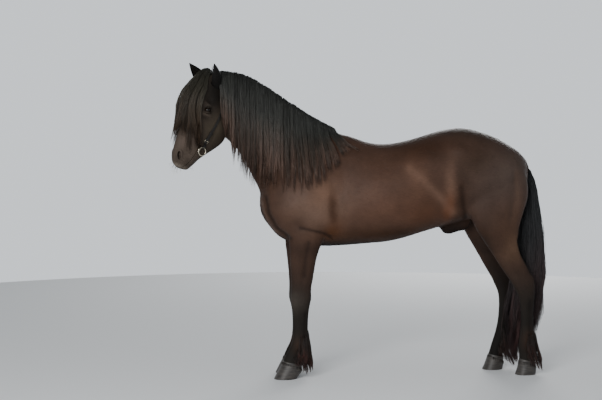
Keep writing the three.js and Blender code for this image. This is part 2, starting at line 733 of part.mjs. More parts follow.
function forelockLocks() {
  const hit = feeler(unite([headShape, forelockDome]));
  const locks = [];
  for (let k = 0; k < 2 * forelock.perLayer; k++) {
    const layer = k < forelock.perLayer ? 0 : 1;
    const u = mix(-1, 1, ((k % forelock.perLayer) + (layer ? 0.5 : 0.2)) / (forelock.perLayer - 0.3));
    const endAside = u * 96 + random(-5, 5);
    const length = forelock.length * (1 - 0.14 * Math.abs(u) + random(-0.07, 0.05));
    const from = layer ? 12 : 74;
    const path = [];
    const outs = [];
    for (const t of [0, 0.1, 0.28, 0.52, 0.77, 1]) {
      const aside = mix(u * (layer ? 40 : 46), endAside, t ** 0.8);
      const drop = mix(from, length, t);
      const [near, over] = [THREE.MathUtils.clamp(aside, -42, 42), Math.max(0, Math.abs(aside) - 42)];
      const front = -hit(new THREE.Vector3(-400, near, -drop), new THREE.Vector3(1, 0, 0)).x - over * 0.6;
      const bow = 28 * Math.sin(Math.PI * Math.min(1, t * 0.64)) * (1 - 0.2 * Math.abs(u));
      const lift = 8 + layer * Math.min(16, 40 * t) + bow;
      path.push(onHead(drop, t === 0 ? front - 12 : t < 0.2 ? front + 5 : front + lift, aside));
      outs.push(new THREE.Vector3(-1, u * 0.8, t < 0.2 ? 0.5 : 0.1).normalize());
    }
    locks.push(lock(path, outs, forelock.width * random(0.9, 1.1), forelock.thickness));
  }
  return locks;
}

// Feather: locks at the back of each fetlock, around the middle of the given leg
const feather = { count: 8, width: 34, thickness: 8 };

function featherLocks(rows, side, swing, reach) {
  const leg = legRows(rows, side, swing).map(([ax, az, bx, , wa, wb, , aside]) =>
    [-az, (ax + bx) / 2, (bx - ax) / 2, (wa + wb) / 2, aside]);
  const locks = [];
  for (let k = 0; k < feather.count; k++) {
    const angle = mix(-1.75, 1.75, (k + 0.5) / feather.count);
    const high = (k % 2 ? 222 : 196) * tall;
    const [, x, halfLong, halfWide, aside] = lookUp(leg, -high);
    const out = new THREE.Vector3(Math.cos(angle), Math.sin(angle), 0);
    const [backward, sideways] = [out.x * halfLong, out.y * halfWide];
    const rearward = Math.max(0, out.x);
    const drop = mix(74, 165, rearward) * random(0.92, 1.06);
    const stand = mix(6, reach, rearward) + (k % 2 ? 8 : 0);
    const root = new THREE.Vector3(x + backward, aside + sideways, high);
    const at = (grow, down) => root.clone().addScaledVector(out, grow).add(new THREE.Vector3(0, 0, -down));
    const bulge = mix(9, 16, rearward) + stand * 0.4;
    const path = [at(-9, -4), at(5, 8), at(bulge, drop * 0.5), at(stand + 6, drop)];
    locks.push(lock(path, path.map(() => out), feather.width * random(0.9, 1.15), feather.thickness));
  }
  return locks;
}

// Locks fused to the node that they grow from, and kept clear of what is given
function grown(name, locks, keepOut) {
  nodes.set(name, largest(unite([nodes.get(name), unite(locks).subtract(unite(keepOut))])));
}

// Tail: a dock from between the haunches, and locks that hang from it to just above the floor

const dockRows = scaled([
  [1235, 1322, 1248, 1235, 36, 42, 2],
  [1292, 1306, 1272, 1222, 42, 44, 2],
  [1340, 1262, 1300, 1205, 34, 36, 2],
  [1364, 1190, 1312, 1165, 28, 30, 2],
  [1374, 1100, 1322, 1092, 26, 28, 2],
  [1384, 980, 1334, 980, 25, 26, 2],
  [1390, 860, 1340, 860, 24, 25, 2],
  [1392, 760, 1352, 760, 20, 20, 2],
  [1382, 690, 1364, 690, 7, 7, 2],
]);
nodes.set('tail', largest(loft(dockRows, 10).subtract(bodyNear)));

// Down the dock: height (negative), middle, half depth and half width
const dockPath = dockRows.map(([ax, az, bx, bz, wa, wb]) =>
  [-(az + bz) / 2 / tall, (ax + bx) / 2 / long, (ax - bx) / 2 / long, (wa + wb) / 2])
  .sort((p, q) => p[0] - q[0]);

// The hanging hair: height below the floor's level (so negative), front, rear and half width
const tailShape = [
  [-1240, 1300, 1352, 30], [-1120, 1322, 1398, 46], [-950, 1322, 1416, 58], [-820, 1300, 1448, 64],
  [-700, 1285, 1458, 66], [-560, 1265, 1452, 62], [-400, 1235, 1444, 56], [-240, 1225, 1420, 50],
  [-100, 1232, 1380, 42], [-50, 1240, 1340, 34],
];
// Tiers of locks from the outside in: how many, root heights, share of the tail's reach, width
const tailTiers = [
  { count: 10, from: 1245, to: 1140, reach: 0.95, width: 42 },
  { count: 8, from: 1010, to: 950, reach: 0.7, width: 38 },
  { count: 5, from: 820, to: 770, reach: 0.45, width: 34 },
];

function tailLocks() {
  const locks = [];
  for (const { count, from, to, reach, width } of tailTiers) {
    for (let k = 0; k < count; k++) {
      const place = ((k + random(-0.08, 0.08)) / count) * 2 * Math.PI;
      const [rear, aside] = [Math.cos(place), Math.sin(place)];
      const high = mix(from, to, (1 - rear) / 2 + (k % 2) * 0.5) * tall;
      const low = mix(70, 300, Math.max(0, rear) ** 1.4) * random(0.9, 1.25) * tall;
      const path = [];
      const outs = [];
      for (const t of [0, 0.07, 0.25, 0.5, 0.76, 1]) {
        const z = mix(high, low, t);
        const [, front, back, wide] = lookUp(tailShape, -z / tall);
        let x = (front + back) / 2 + rear * ((back - front) / 2) * reach;
        let y = aside * wide * reach;
        const dock = lookUp(dockPath, -z / tall);
        if (t === 0) [x, y] = [dock[1] + rear * dock[2] * 0.62, aside * dock[3] * 0.62];
        else if (t < 0.1) [x, y] = [dock[1] + rear * (dock[2] + 7), aside * (dock[3] + 7)];
        x *= long;
        if (t > 0 && z > 840 * tall) {
          const touch = bodyHit(new THREE.Vector3(2500, y, z), new THREE.Vector3(-1, 0, 0));
          if (touch) x = Math.max(x, touch.x + 12);
        }
        path.push(new THREE.Vector3(x, y, z));
        outs.push(new THREE.Vector3(rear, aside, 0.05).normalize());
      }
      locks.push(lock(path, outs, width * random(0.92, 1.08), 11));
    }
  }
  return locks;
}

const around = (...names) => names.map((name) => swell(nodes.get(name), hairGap));
grown('tail', tailLocks(), [bodyClear]);
for (const side of [-1, 1]) {
  const name = sideName(side);
  grown(`fore_pastern_${name}`, featherLocks(foreRows, side, foreSwing, 10),
    around(`fore_hoof_${name}`, `fore_cannon_${name}`));
  grown(`hind_pastern_${name}`, featherLocks(hindRows, side, hindSwing, 30),
    around(`hind_hoof_${name}`, `hind_cannon_${name}`, 'tail'));
}

// Bridle, in the head's frame: a ring snaffle, cheek straps and a crown strap behind the ears

const ringTube = 3.6;
const bitEnd = (side) => onHead(bitPlace.drop, bitPlace.front, side * bitPlace.reach);
const ringCentre = (side) => bitEnd(side).add(new THREE.Vector3(bitRingRadius - ringTube, 0, -4));

function bitRing(side, grow = 0) {
  const { x, y, z } = ringCentre(side);
  const ring = new THREE.TorusGeometry(bitRingRadius - ringTube, ringTube + grow, 6, 18);
  return placed(ring, spin('X', 90), shift(x, y, z));
}

function mouthpiece() {
  const across = new THREE.CylinderGeometry(6, 6, 2 * bitPlace.reach, 8);
  const rod = placed(across, shift(-bitPlace.front, 0, -bitPlace.drop));
  const bosses = [-1, 1].map((side) => ball(bitEnd(side), [9, 8.5, 10], 8));
  return unite([rod, ...bosses]).subtract(unite([-1, 1].map((side) => bitRing(side, seamGap + 0.1))));
}

// A strap along points of the head, with the way that its outer face looks at each
function strap(points, outs) {
  return solid(stitch(points.map((point, i) => {
    const after = points[Math.min(i + 1, points.length - 1)];
    const way = after.clone().sub(points[Math.max(i - 1, 0)]).normalize();
    const across = new THREE.Vector3().crossVectors(way, outs[i]).normalize().multiplyScalar(strapWidth / 2);
    const out = new THREE.Vector3().crossVectors(across, way).normalize().multiplyScalar(strapThickness / 2);
    return [[1, 1], [-1, 1], [-1, -1], [1, -1]].map(([a, b]) =>
      point.clone().addScaledVector(across, a).addScaledVector(out, b));
  }), 'ladder'));
}

// The line of the left cheek strap up from the bit: drop and front
const cheekLine = [
  [372, -84], [340, -88], [300, -93], [260, -97], [220, -99], [180, -97], [140, -91], [100, -82],
];
const strapLift = strapThickness / 2 + 1.6;

function cheekStrap(side) {
  const hit = feeler(headShape);
  const top = ringCentre(side).add(new THREE.Vector3(0, 0, bitRingRadius - ringTube));
  const points = [top, top.clone().add(new THREE.Vector3(1, 0, 16))];
  cheekLine.forEach(([drop, front]) => {
    const touch = hit(onHead(drop, front, side * 400), new THREE.Vector3(0, -side, 0));
    points.push(touch.add(new THREE.Vector3(0, side * strapLift, 0)));
  });
  const barrel = new THREE.CylinderGeometry(7.5, 7.5, strapWidth, 10);
  const loop = placed(barrel, spin('Z', 90), shift(top.x, top.y, top.z));
  const leather = strap(points, points.map(() => new THREE.Vector3(0, side, 0)));
  return unite([leather, loop]).subtract(bitRing(side, seamGap + 0.1));
}

// Over the poll, from one cheek strap's end to the other's
function crownStrap() {
  const hit = feeler(headShape);
  const middle = onHead(60, -58, 0);
  const points = [];
  const outs = [];
  for (let k = 0; k <= 12; k++) {
    const angle = mix(-112, 112, k / 12) * (Math.PI / 180);
    const out = new THREE.Vector3(0, Math.sin(angle), Math.cos(angle));
    out.x = (1 - Math.cos(angle)) * 0.16;
    out.normalize();
    const touch = hit(middle.clone().addScaledVector(out, 500), out.clone().negate());
    points.push(touch.addScaledVector(out, strapLift));
    outs.push(out);
  }
  return strap(points, outs);
}

const onFace = (shape) => placed(geometryOf(shape), headPlace);
nodes.set('bit_mouthpiece', onFace(mouthpiece()));
for (const side of [-1, 1]) {
  const name = sideName(side);
  nodes.set(`bit_ring_${name}`, onFace(bitRing(side)));
  nodes.set(`cheek_strap_${name}`, largest(onFace(cheekStrap(side)).subtract(bodyNear)));
}
const strapsNear = around('cheek_strap_left', 'cheek_strap_right');
nodes.set('crown_strap', largest(onFace(crownStrap()).subtract(unite([bodyNear, ...strapsNear]))));

const earsWide = [-1, 1].map((side) => ear(side, 1.6));
const strapNames = ['cheek_strap_left', 'cheek_strap_right', 'crown_strap'];
const strapsWide = strapNames.map((name) => swell(nodes.get(name), 1.2));
grown('neck', [maneRidge(), ...maneLocks(-1), ...maneLocks(1)],
  [...earsWide, ...strapsWide, bodyClear.intersect(unite([beyond(neckFrame, -1), beyond(headFrame, 1)]))]);
grown('head', [placed(geometryOf(unite([forelockDome, ...forelockLocks()])), headPlace)],
  [...earsWide, ...strapsWide, ...around('eye_left', 'eye_right', 'neck')]);

// The model, centred over its footprint

const model = new THREE.Group();
model.name = 'icelandic_horse';
const bounds = new THREE.Box3();
for (const shape of nodes.values()) {
  const { min, max } = shape.boundingBox();
  bounds.expandByPoint(new THREE.Vector3(...min)).expandByPoint(new THREE.Vector3(...max));
}
const centre = bounds.getCenter(new THREE.Vector3());
const centring = new THREE.Vector3(-centre.x, -centre.y, -bounds.min.z);
for (const [name, shape] of nodes) {
  const kind = kindOf(name);
  const middle = middleOf(shape);
  const geometry = geometryOf(shape).translate(-middle.x, -middle.y, -middle.z).toNonIndexed();
  geometry.computeVertexNormals();
  const material = new THREE.MeshStandardMaterial({ color: colours[kind], roughness: finish[kind] ?? 0.8 });
  const mesh = new THREE.Mesh(geometry, material);
  mesh.name = name;
  mesh.position.addVectors(middle, centring);
  model.add(mesh);
}
export default model;
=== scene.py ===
# A life-size Icelandic stallion that stands square in a snaffle headstall, its head turned to its left.
# The horse faces -X and its left side faces -Y. Everything is in metres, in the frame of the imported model.
import math
import bmesh
import bpy
import numpy as np
from mathutils import Matrix, Vector
from mathutils.bvhtree import BVHTree


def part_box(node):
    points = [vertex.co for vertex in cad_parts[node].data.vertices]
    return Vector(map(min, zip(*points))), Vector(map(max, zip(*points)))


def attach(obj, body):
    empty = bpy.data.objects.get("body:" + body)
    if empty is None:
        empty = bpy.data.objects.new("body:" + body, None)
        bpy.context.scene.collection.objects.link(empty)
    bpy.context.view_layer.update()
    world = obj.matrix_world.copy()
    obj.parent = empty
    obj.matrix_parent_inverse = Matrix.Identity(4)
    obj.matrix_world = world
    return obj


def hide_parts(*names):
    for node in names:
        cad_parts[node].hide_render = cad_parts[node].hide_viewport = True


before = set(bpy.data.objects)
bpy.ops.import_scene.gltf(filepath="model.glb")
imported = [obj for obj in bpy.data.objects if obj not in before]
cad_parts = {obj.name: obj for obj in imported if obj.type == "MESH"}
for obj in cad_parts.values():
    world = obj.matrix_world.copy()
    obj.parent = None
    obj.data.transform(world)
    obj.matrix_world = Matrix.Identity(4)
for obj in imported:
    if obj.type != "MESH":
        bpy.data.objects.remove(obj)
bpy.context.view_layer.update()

# Sizes

MM = 0.001
BODY_VOXEL = 0.009
HEAD_VOXEL = 0.0032
EAR_VOXEL = 0.0016
SKIN_SHARE = 0.78  # of the faces that the voxels give
EYE_RADIUS = 0.021
RING_RADIUS = 0.027
RING_TUBE = 0.0036
STRAP_WIDTH = 0.017
STRAP_THICKNESS = 0.0034
HEAD_TURN, HEAD_NOD, HEAD_ROLL = 30, 21, 3
EAR_LENGTH = 0.148
EAR_POSE = {-1: (40, 34, 38), 1: (50, 34, 38)}  # lean, splay and turn in degrees
SIDE_NAMES = {-1: "left", 1: "right"}
# The tables count x from the shoulder, and the toe of the left forefoot ties them to the frame
LEFT_TOE = -0.170
FRONT_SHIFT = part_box("fore_hoof_left")[0].x - LEFT_TOE
POLL = Vector((FRONT_SHIFT - 0.530, -0.062, 1.751))
HEAD = (Matrix.Translation(POLL) @ Matrix.Rotation(math.radians(HEAD_TURN), 4, "Z")
        @ Matrix.Rotation(math.radians(HEAD_NOD), 4, "Y") @ Matrix.Rotation(math.radians(HEAD_ROLL), 4, "X"))

# The body's outline, in millimetres, from the breast back over the croup. Each row is an oval section:
# lead x, lead z, trail x, trail z, half widths at the lead and at the trail, squareness, distance from
# the midline, turn.
TRUNK = [
    (-236, 1062, -236, 985, 40, 46, 2), (-227, 1115, -225, 925, 96, 96, 2),
    (-192, 1205, -186, 868, 142, 152, 2.1), (-120, 1300, -112, 806, 165, 200, 2.1),
    (-30, 1370, -25, 776, 160, 232, 2.1), (80, 1410, 80, 762, 150, 256, 2),
    (190, 1422, 190, 761, 148, 272, 2), (290, 1402, 290, 767, 176, 287, 2.05),
    (390, 1368, 390, 775, 218, 298, 2.15), (490, 1356, 490, 783, 244, 302, 2.2),
    (590, 1368, 590, 803, 258, 298, 2.25), (690, 1393, 690, 833, 262, 286, 2.3),
    (790, 1424, 790, 862, 262, 264, 2.35), (880, 1443, 880, 884, 255, 247, 2.35),
    (960, 1447, 960, 904, 250, 238, 2.3), (1060, 1425, 1060, 932, 240, 232, 2.3),
    (1150, 1391, 1150, 966, 222, 222, 2.3), (1230, 1346, 1230, 1000, 190, 196, 2.2),
    (1290, 1306, 1290, 1040, 142, 160, 2.1), (1322, 1264, 1322, 1090, 90, 105, 2),
    (1337, 1215, 1337, 1140, 35, 40, 2),
]
NECK = [
    (330, 1372, 60, 860, 70, 150, 2, 0, 0), (250, 1410, -110, 885, 62, 184, 2, 0, 0),
    (160, 1448, -214, 985, 56, 174, 2, 0, 0), (57, 1503, -246, 1090, 50, 150, 2, 0, 0),
    (-78, 1586, -293, 1187, 46, 126, 2, -4, 3), (-200, 1668, -345, 1287, 44, 108, 2, -14, 8),
    (-310, 1730, -396, 1352, 44, 96, 2, -30, 14), (-410, 1757, -446, 1400, 46, 88, 2, -46, 20),
    (-490, 1760, -486, 1470, 46, 66, 2, -60, 26),
]
# The left legs down to the hoof's upper edge: front x and z, back x and z, half widths, squareness, aside
FORELEG = [
    (-70, 960, 140, 960, 62, 62, 2.2, 146), (-88, 880, 130, 880, 64, 66, 2.2, 143),
    (-86, 800, 110, 800, 61, 62, 2.2, 136), (-80, 740, 92, 740, 58, 56, 2.2, 130),
    (-76, 660, 72, 660, 52, 48, 2.2, 125), (-73, 580, 58, 580, 45, 42, 2.2, 121),
    (-72, 520, 48, 520, 43, 41, 2.3, 119), (-73, 480, 46, 480, 47, 45, 2.5, 118),
    (-72, 440, 42, 440, 48, 45, 2.6, 118), (-65, 400, 36, 400, 42, 38, 2.5, 117),
    (-61, 360, 32, 360, 32, 29, 2.3, 117), (-60, 310, 30, 310, 30, 27, 2.2, 116),
    (-62, 260, 31, 260, 33, 30, 2.2, 115), (-68, 215, 34, 215, 40, 34, 2.2, 115),
    (-77, 185, 31, 188, 40, 35, 2.2, 115), (-97, 148, 8, 152, 34, 32, 2.2, 114),
    (-112, 118, -8, 118, 37, 35, 2.2, 114), (-122, 92, -8, 62, 47, 42, 2.1, 114),
]
HINDLEG = [
    (905, 1200, 1300, 1200, 88, 78, 2.2, 130), (915, 1120, 1318, 1120, 96, 84, 2.2, 134),
    (930, 1040, 1316, 1040, 100, 82, 2.2, 136), (952, 970, 1296, 970, 98, 76, 2.2, 136),
    (988, 900, 1276, 900, 88, 66, 2.2, 134), (1030, 830, 1264, 830, 74, 55, 2.2, 131),
    (1072, 770, 1268, 770, 64, 46, 2.2, 127), (1112, 710, 1288, 710, 55, 38, 2.2, 122),
    (1152, 650, 1322, 650, 48, 32, 2.3, 118), (1190, 595, 1352, 592, 45, 28, 2.4, 115),
    (1222, 550, 1367, 548, 46, 27, 2.4, 112), (1250, 505, 1372, 505, 45, 28, 2.4, 110),
    (1270, 460, 1370, 460, 38, 29, 2.3, 108), (1281, 410, 1367, 410, 32, 28, 2.2, 107),
    (1286, 350, 1364, 350, 31, 27, 2.2, 106), (1287, 290, 1366, 290, 32, 29, 2.2, 105),
    (1282, 235, 1374, 235, 38, 34, 2.2, 105), (1276, 198, 1376, 200, 41, 36, 2.2, 105),
    (1266, 158, 1358, 160, 36, 33, 2.2, 104), (1259, 116, 1344, 114, 38, 35, 2.2, 104),
    (1251, 80, 1350, 52, 47, 42, 2.1, 104),
]
# The hooves, from inside the coronet down to the sole, in the same columns
FORE_HOOF = [
    (-116, 104, -10, 82, 40, 38, 2.1, 114), (-122, 92, -8, 62, 47, 42, 2.1, 114),
    (-127, 80, -7, 44, 52, 46, 2.1, 114), (-148, 42, -20, 24, 57, 50, 2.1, 114),
    (-170, 0, -38, 0, 62, 52, 2.1, 114),
]
HIND_HOOF = [
    (1255, 94, 1347, 74, 41, 38, 2.1, 104), (1251, 80, 1350, 52, 47, 42, 2.1, 104),
    (1248, 68, 1353, 36, 51, 45, 2.1, 104), (1240, 36, 1352, 18, 55, 47, 2.1, 104),
    (1228, 0, 1350, 0, 58, 49, 2.1, 104),
]
SHEATH = [
    (826, 880, 826, 852, 20, 16, 2), (836, 896, 842, 826, 34, 26, 2), (880, 905, 880, 818, 40, 32, 2),
    (930, 915, 925, 836, 40, 34, 2), (985, 930, 975, 842, 36, 34, 2), (1010, 940, 1004, 872, 26, 24, 2),
]
DOCK = [
    (1235, 1322, 1248, 1235, 36, 42, 2), (1292, 1306, 1272, 1222, 42, 44, 2),
    (1340, 1262, 1300, 1205, 34, 36, 2), (1364, 1190, 1312, 1165, 28, 30, 2),
    (1374, 1100, 1322, 1092, 24, 26, 2), (1380, 980, 1336, 980, 20, 22, 2),
    (1380, 860, 1350, 860, 12, 12, 2),
]
# The head, down from the poll: drop, front of the face, back of the jaw, half widths at each, squareness
FACE = [
    (-13, 28, -46, 36, 36, 2.1), (0, 40, -68, 52, 54, 2.2), (33, 58, -100, 68, 70, 2.3),
    (75, 73, -146, 80, 76, 2.4), (121, 82, -184, 90, 77, 2.5), (168, 86, -206, 95, 75, 2.6),
    (200, 87, -216, 93, 73, 2.6), (242, 84, -224, 78, 72, 2.5), (288, 82, -228, 64, 69, 2.4),
    (335, 79, -216, 55, 60, 2.4), (381, 76, -182, 48, 50, 2.4), (428, 73, -142, 46, 42, 2.3),
    (470, 70, -108, 50, 39, 2.3), (507, 63, -86, 52, 38, 2.3), (535, 50, -67, 46, 35, 2.2),
    (552, 29, -46, 34, 27, 2.1), (560, 8, -22, 17, 15, 2),
]
# How far each foot stands behind its left fellow, the height that the leg swings from, and how far back
# the left foot bends below its fetlock
FORE_SWING = {-1: 0, 1: 30, "from": 900, "bend": 0}
HIND_SWING = {-1: 0, 1: -125, "from": 1150, "bend": 29}
BEND_HEIGHTS = (60, 210)

# Swellings of the trunk: x, z, reach along, reach up, backward tilt, amount
TRUNK_MUSCLES = [
    (20, 1090, 95, 210, 38, 26), (60, 915, 95, 85, 0, 20), (215, 1080, 60, 190, 15, -10),
    (-150, 960, 80, 80, 0, 12), (850, 1120, 70, 130, -10, -12), (1110, 1190, 160, 120, 0, 14),
    (905, 1330, 70, 40, 0, 8),
]


# Shapes

def ahead(x):
    """A table's x in millimetres as an x of the frame."""
    return FRONT_SHIFT + x * MM


def in_body(at):
    """Points of the frame counted from the shoulder, as the tables count them."""
    return at - np.array((FRONT_SHIFT, 0, 0))


def curved(points, steps):
    """Points of a Catmull-Rom curve through the given ones, with a few steps from each to the next."""
    fine = []
    for i in range(len(points) - 1):
        start, end = points[i], points[i + 1]
        slope_in = (end - points[max(i - 1, 0)]) / 2
        slope_out = (points[min(i + 2, len(points) - 1)] - start) / 2
        cubic = 2 * start - 2 * end + slope_in + slope_out
        square = -3 * start + 3 * end - 2 * slope_in - slope_out
        for step in range(steps):
            t = step / steps
            fine.append(((cubic * t + square) * t + slope_in) * t + start)
    return np.array(fine + [points[-1]])


def refine(rows, steps):
    """The rows of a table, filled up to nine columns, with more rows between them."""
    return curved(np.array([tuple(row) + (0.0,) * (9 - len(row)) for row in rows], float), steps)


def section(row, sides, inset=0.0):
    """A ring of points in metres round one row of a table, all but the head's at its place in the frame."""
    lead_x, lead_z, trail_x, trail_z, lead_wide, trail_wide, square, aside, turn = row
    angle = np.arange(sides) / sides * 2 * math.pi
    bend = lambda value: np.sign(value) * np.abs(value) ** (2 / square)
    along = bend(np.sin(angle))
    wide = trail_wide + (lead_wide - trail_wide) * (along + 1) / 2 - inset
    half = np.array([lead_x - trail_x, lead_z - trail_z]) / 2
    half *= 1 - inset / max(np.hypot(*half), 1e-6)
    yaw = math.radians(turn)
    x, y = along * half[0], bend(np.cos(angle)) * wide
    ring = np.stack([x * math.cos(yaw) - y * math.sin(yaw) + (lead_x + trail_x) / 2,
                     x * math.sin(yaw) + y * math.cos(yaw) + aside,
                     along * half[1] + (lead_z + trail_z) / 2], 1)
    return ring * MM


def body_rings(rows, sides, steps=2, inset=1.5):
    """Rings round the rows of a table of the body. The skin lies the coat's depth inside them."""
    rings = [section(row, sides, inset) for row in refine(rows, steps)]
    for ring in rings:
        ring[:, 0] += FRONT_SHIFT
    return rings


def add_tube(bm, rings):
    """A closed tube through rings of equally many points: a grid rolled round and capped."""
    sides = len(rings[0])
    grid = bmesh.ops.create_grid(bm, x_segments=sides, y_segments=len(rings) - 1, size=1)
    made = grid["verts"]
    for i, vert in enumerate(made):
        row, column = divmod(i, sides + 1)
        vert.co = rings[row][column % sides]
    bmesh.ops.remove_doubles(bm, verts=made, dist=1e-6)
    made = [vert for vert in made if vert.is_valid]
    open_edges = [edge for vert in made for edge in vert.link_edges if edge.is_boundary]
    bmesh.ops.holes_fill(bm, edges=list(set(open_edges)))
    bmesh.ops.recalc_face_normals(bm, faces=list({face for vert in made for face in vert.link_faces}))


def mesh_of(name, bm):
    mesh = bpy.data.meshes.new(name)
    bm.to_mesh(mesh)
    bm.free()
    return mesh


def finished(name, bm, material):
    """A piece from a bmesh, riding on the one body."""
    return dressed(name, mesh_of(name, bm), material)


def dressed(name, mesh, material, smooth=True):
    """A piece from a mesh, riding on the one body."""
    piece = loose(name, mesh)
    mesh.materials.clear()
    mesh.materials.append(material)
    mesh.polygons.foreach_set("use_smooth", [smooth] * len(mesh.polygons))
    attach(piece, "root")
    return piece


def settled(name, piece, **modifiers):
    """The mesh of a piece with modifiers applied, the piece itself being dropped."""
    for kind, settings in modifiers.items():
        modifier = piece.modifiers.new(kind, kind.split("_")[0].upper())
        for key, value in settings.items():
            setattr(modifier, key, value)
    graph = bpy.context.evaluated_depsgraph_get()
    mesh = bpy.data.meshes.new_from_object(piece.evaluated_get(graph))
    mesh.name = name
    bpy.data.objects.remove(piece)
    return mesh


def loose(name, data):
    """An object in the scene that isn't a piece yet."""
    made = bpy.data.objects.new(name, data)
    bpy.context.scene.collection.objects.link(made)
    return made


def remeshed(name, mesh, voxel, rounds):
    """One closed surface round overlapping forms, smoothed for a few rounds."""
    return settled(name, loose(name, mesh), remesh={"mode": "VOXEL", "voxel_size": voxel},
                   smooth={"factor": 0.5, "iterations": rounds})


def combined(first, second, way):
    """The union or difference of two meshes."""
    tool = loose("tool", second)
    mesh = settled("combined", loose("base", first),
                   boolean={"operation": way, "solver": "MANIFOLD", "object": tool})
    bpy.data.objects.remove(tool)
    return mesh


def corners(mesh, what="co"):
    """The points of a mesh, or with "normal" the ways out of it there."""
    out = np.empty(len(mesh.vertices) * 3)
    mesh.vertices.foreach_get(what, out)
    return out.reshape(-1, 3)


def move_corners(mesh, points):
    mesh.vertices.foreach_set("co", points.ravel())
    mesh.update()


def swell(at, centre, reach):
    """A soft hump of height 1 at the centre, that fades over the reach along each axis."""
    return np.exp(-(((at - np.array(centre)) / np.array(reach)) ** 2).sum(1))


def fade(value, edge, width):
    """A soft step from 1 below the edge to 0 above it."""
    return 1 / (1 + np.exp((value - edge) / width))


def unit(ways):
    return ways / (np.linalg.norm(ways, axis=-1, keepdims=True) + 1e-12)


def angles(count):
    return [2 * math.pi * k / count for k in range(count)]


def rounded_square(angle, power):
    """A point on a square with round corners, which are the tighter the smaller the power."""
    return [math.copysign(abs(value) ** power, value) for value in (math.cos(angle), math.sin(angle))]


def sides_of(aside):
    """Both sides for a form that is given off the midline, and otherwise the place as given."""
    return (-1, 1) if aside > 0 else (1,)


# Head

def on_head(drop, front, aside):
    """A point of the head's own frame in metres, from millimetres down from the poll, forward and aside."""
    return Vector((-front, aside, -drop)) * MM


EYE_PLACE, EYE_ASIDE = (199, -9), 74
NOSTRIL, NOSTRIL_ASIDE = (494, 42), 35
MOUTH = [(424, -56), (460, -48), (496, -36), (528, -20), (550, -5), (584, 6)]
BIT = {"drop": 424, "front": -56, "reach": 56}

# Relief of the head on both sides: drop, front, aside, reach down, reach forward, reach aside, height
HEAD_RELIEF = [
    (235, -135, 72, 85, 62, 40, 7), (262, 8, 74, 34, 16, 30, 4), (320, -2, 62, 42, 11, 26, 6),
    (318, 44, 52, 55, 22, 22, -5), (365, -40, 48, 40, 34, 26, -6), (138, 2, 82, 22, 20, 22, -8),
    (160, 38, 78, 26, 16, 24, 4), (470, 40, 40, 22, 18, 20, 3), (512, 2, 40, 16, 20, 22, 4),
    (452, 4, 44, 30, 30, 22, -4), (250, -222, 0, 90, 34, 26, -10), (250, -205, 52, 90, 26, 22, 2),
    (548, -48, 0, 14, 18, 26, 5), (528, 42, 0, 16, 18, 20, 2), (520, 40, 14, 20, 22, 14, -2),
    (95, 60, 30, 70, 24, 30, 3), (60, -96, 66, 40, 36, 24, 3), (430, 74, 0, 60, 14, 26, 3),
    (228, -26, 80, 7, 22, 20, 3), (238, -22, 76, 4, 20, 20, -2.5), (176, 8, 84, 5, 24, 16, -3),
    (470, -34, 36, 9, 22, 18, 3.5), (498, -44, 34, 12, 22, 16, 3), (330, -120, 58, 60, 10, 20, -2.5),
]


def eye_ways(side):
    """The ways out of an eye, along its slit and up across it."""
    out = Vector((-0.3, side, 0.06)).normalized()
    across = Vector((-0.25, 0, 1)).cross(out).normalized()
    return out, across, out.cross(across).normalized()


def lid_ring(side, upper):
    """One lid of an eye, as rings of a bent bar over the eyeball: thicker and folded above."""
    centre = on_head(*EYE_PLACE, side * EYE_ASIDE)
    out, across, rise = eye_ways(side)
    half_long, half_high, reach = 26, 17 if upper else 15, 22.5
    rings = []
    for k in range(25):
        angle = math.pi * (k / 24) * (1 if upper else -1)
        flat = Vector((math.cos(angle) * half_long, math.sin(angle) * half_high, 0))
        lift = math.sqrt(max(0, reach ** 2 - flat.x ** 2 - flat.y ** 2))
        middle = centre + (across * flat.x + rise * flat.y + out * lift) * MM
        thick = (4.2 + 3.4 * math.sin(math.pi * k / 24) * (1 if upper else 0.55)) * MM
        radial = (across * math.cos(angle) + rise * math.sin(angle)).normalized()
        rings.append([middle + (radial * math.cos(a) + out * math.sin(a)) * thick for a in angles(10)])
    return rings


def nostril_way(side):
    return Vector((-0.75, side, -0.1)).normalized()


def nostril_ring(side):
    """The comma-shaped rim of a nostril."""
    centre = on_head(*NOSTRIL, side * NOSTRIL_ASIDE)
    out = nostril_way(side)
    across = Vector((-0.5, 0, 1)).cross(out).normalized()
    rise = out.cross(across).normalized()
    loop = []
    for angle in angles(24):
        along = across * math.cos(angle) * (13 + 4 * math.sin(angle))
        up = rise * math.sin(angle) * 28
        loop.append(centre + (along + up + out * (0.5 - 1.5 * math.cos(angle))) * MM)
    rings = []
    for k in range(25):
        point, way = loop[k % 24], (loop[(k + 1) % 24] - loop[k - 1]).normalized()
        side_way = way.cross(out).normalized()
        thick = (4.4 + 0.8 * math.sin(2 * math.pi * k / 24) + 1.2 * math.cos(2 * math.pi * k / 24)) * MM
        rings.append([point + (side_way * math.cos(a) + out * math.sin(a)) * thick for a in angles(8)])
    return rings


def ball(bm, centre, radii, turn=Matrix()):
    """A turned ellipsoid."""
    bmesh.ops.create_icosphere(bm, subdivisions=4, radius=1,
                               matrix=Matrix.Translation(centre) @ turn @ Matrix.Diagonal((*radii, 1)))


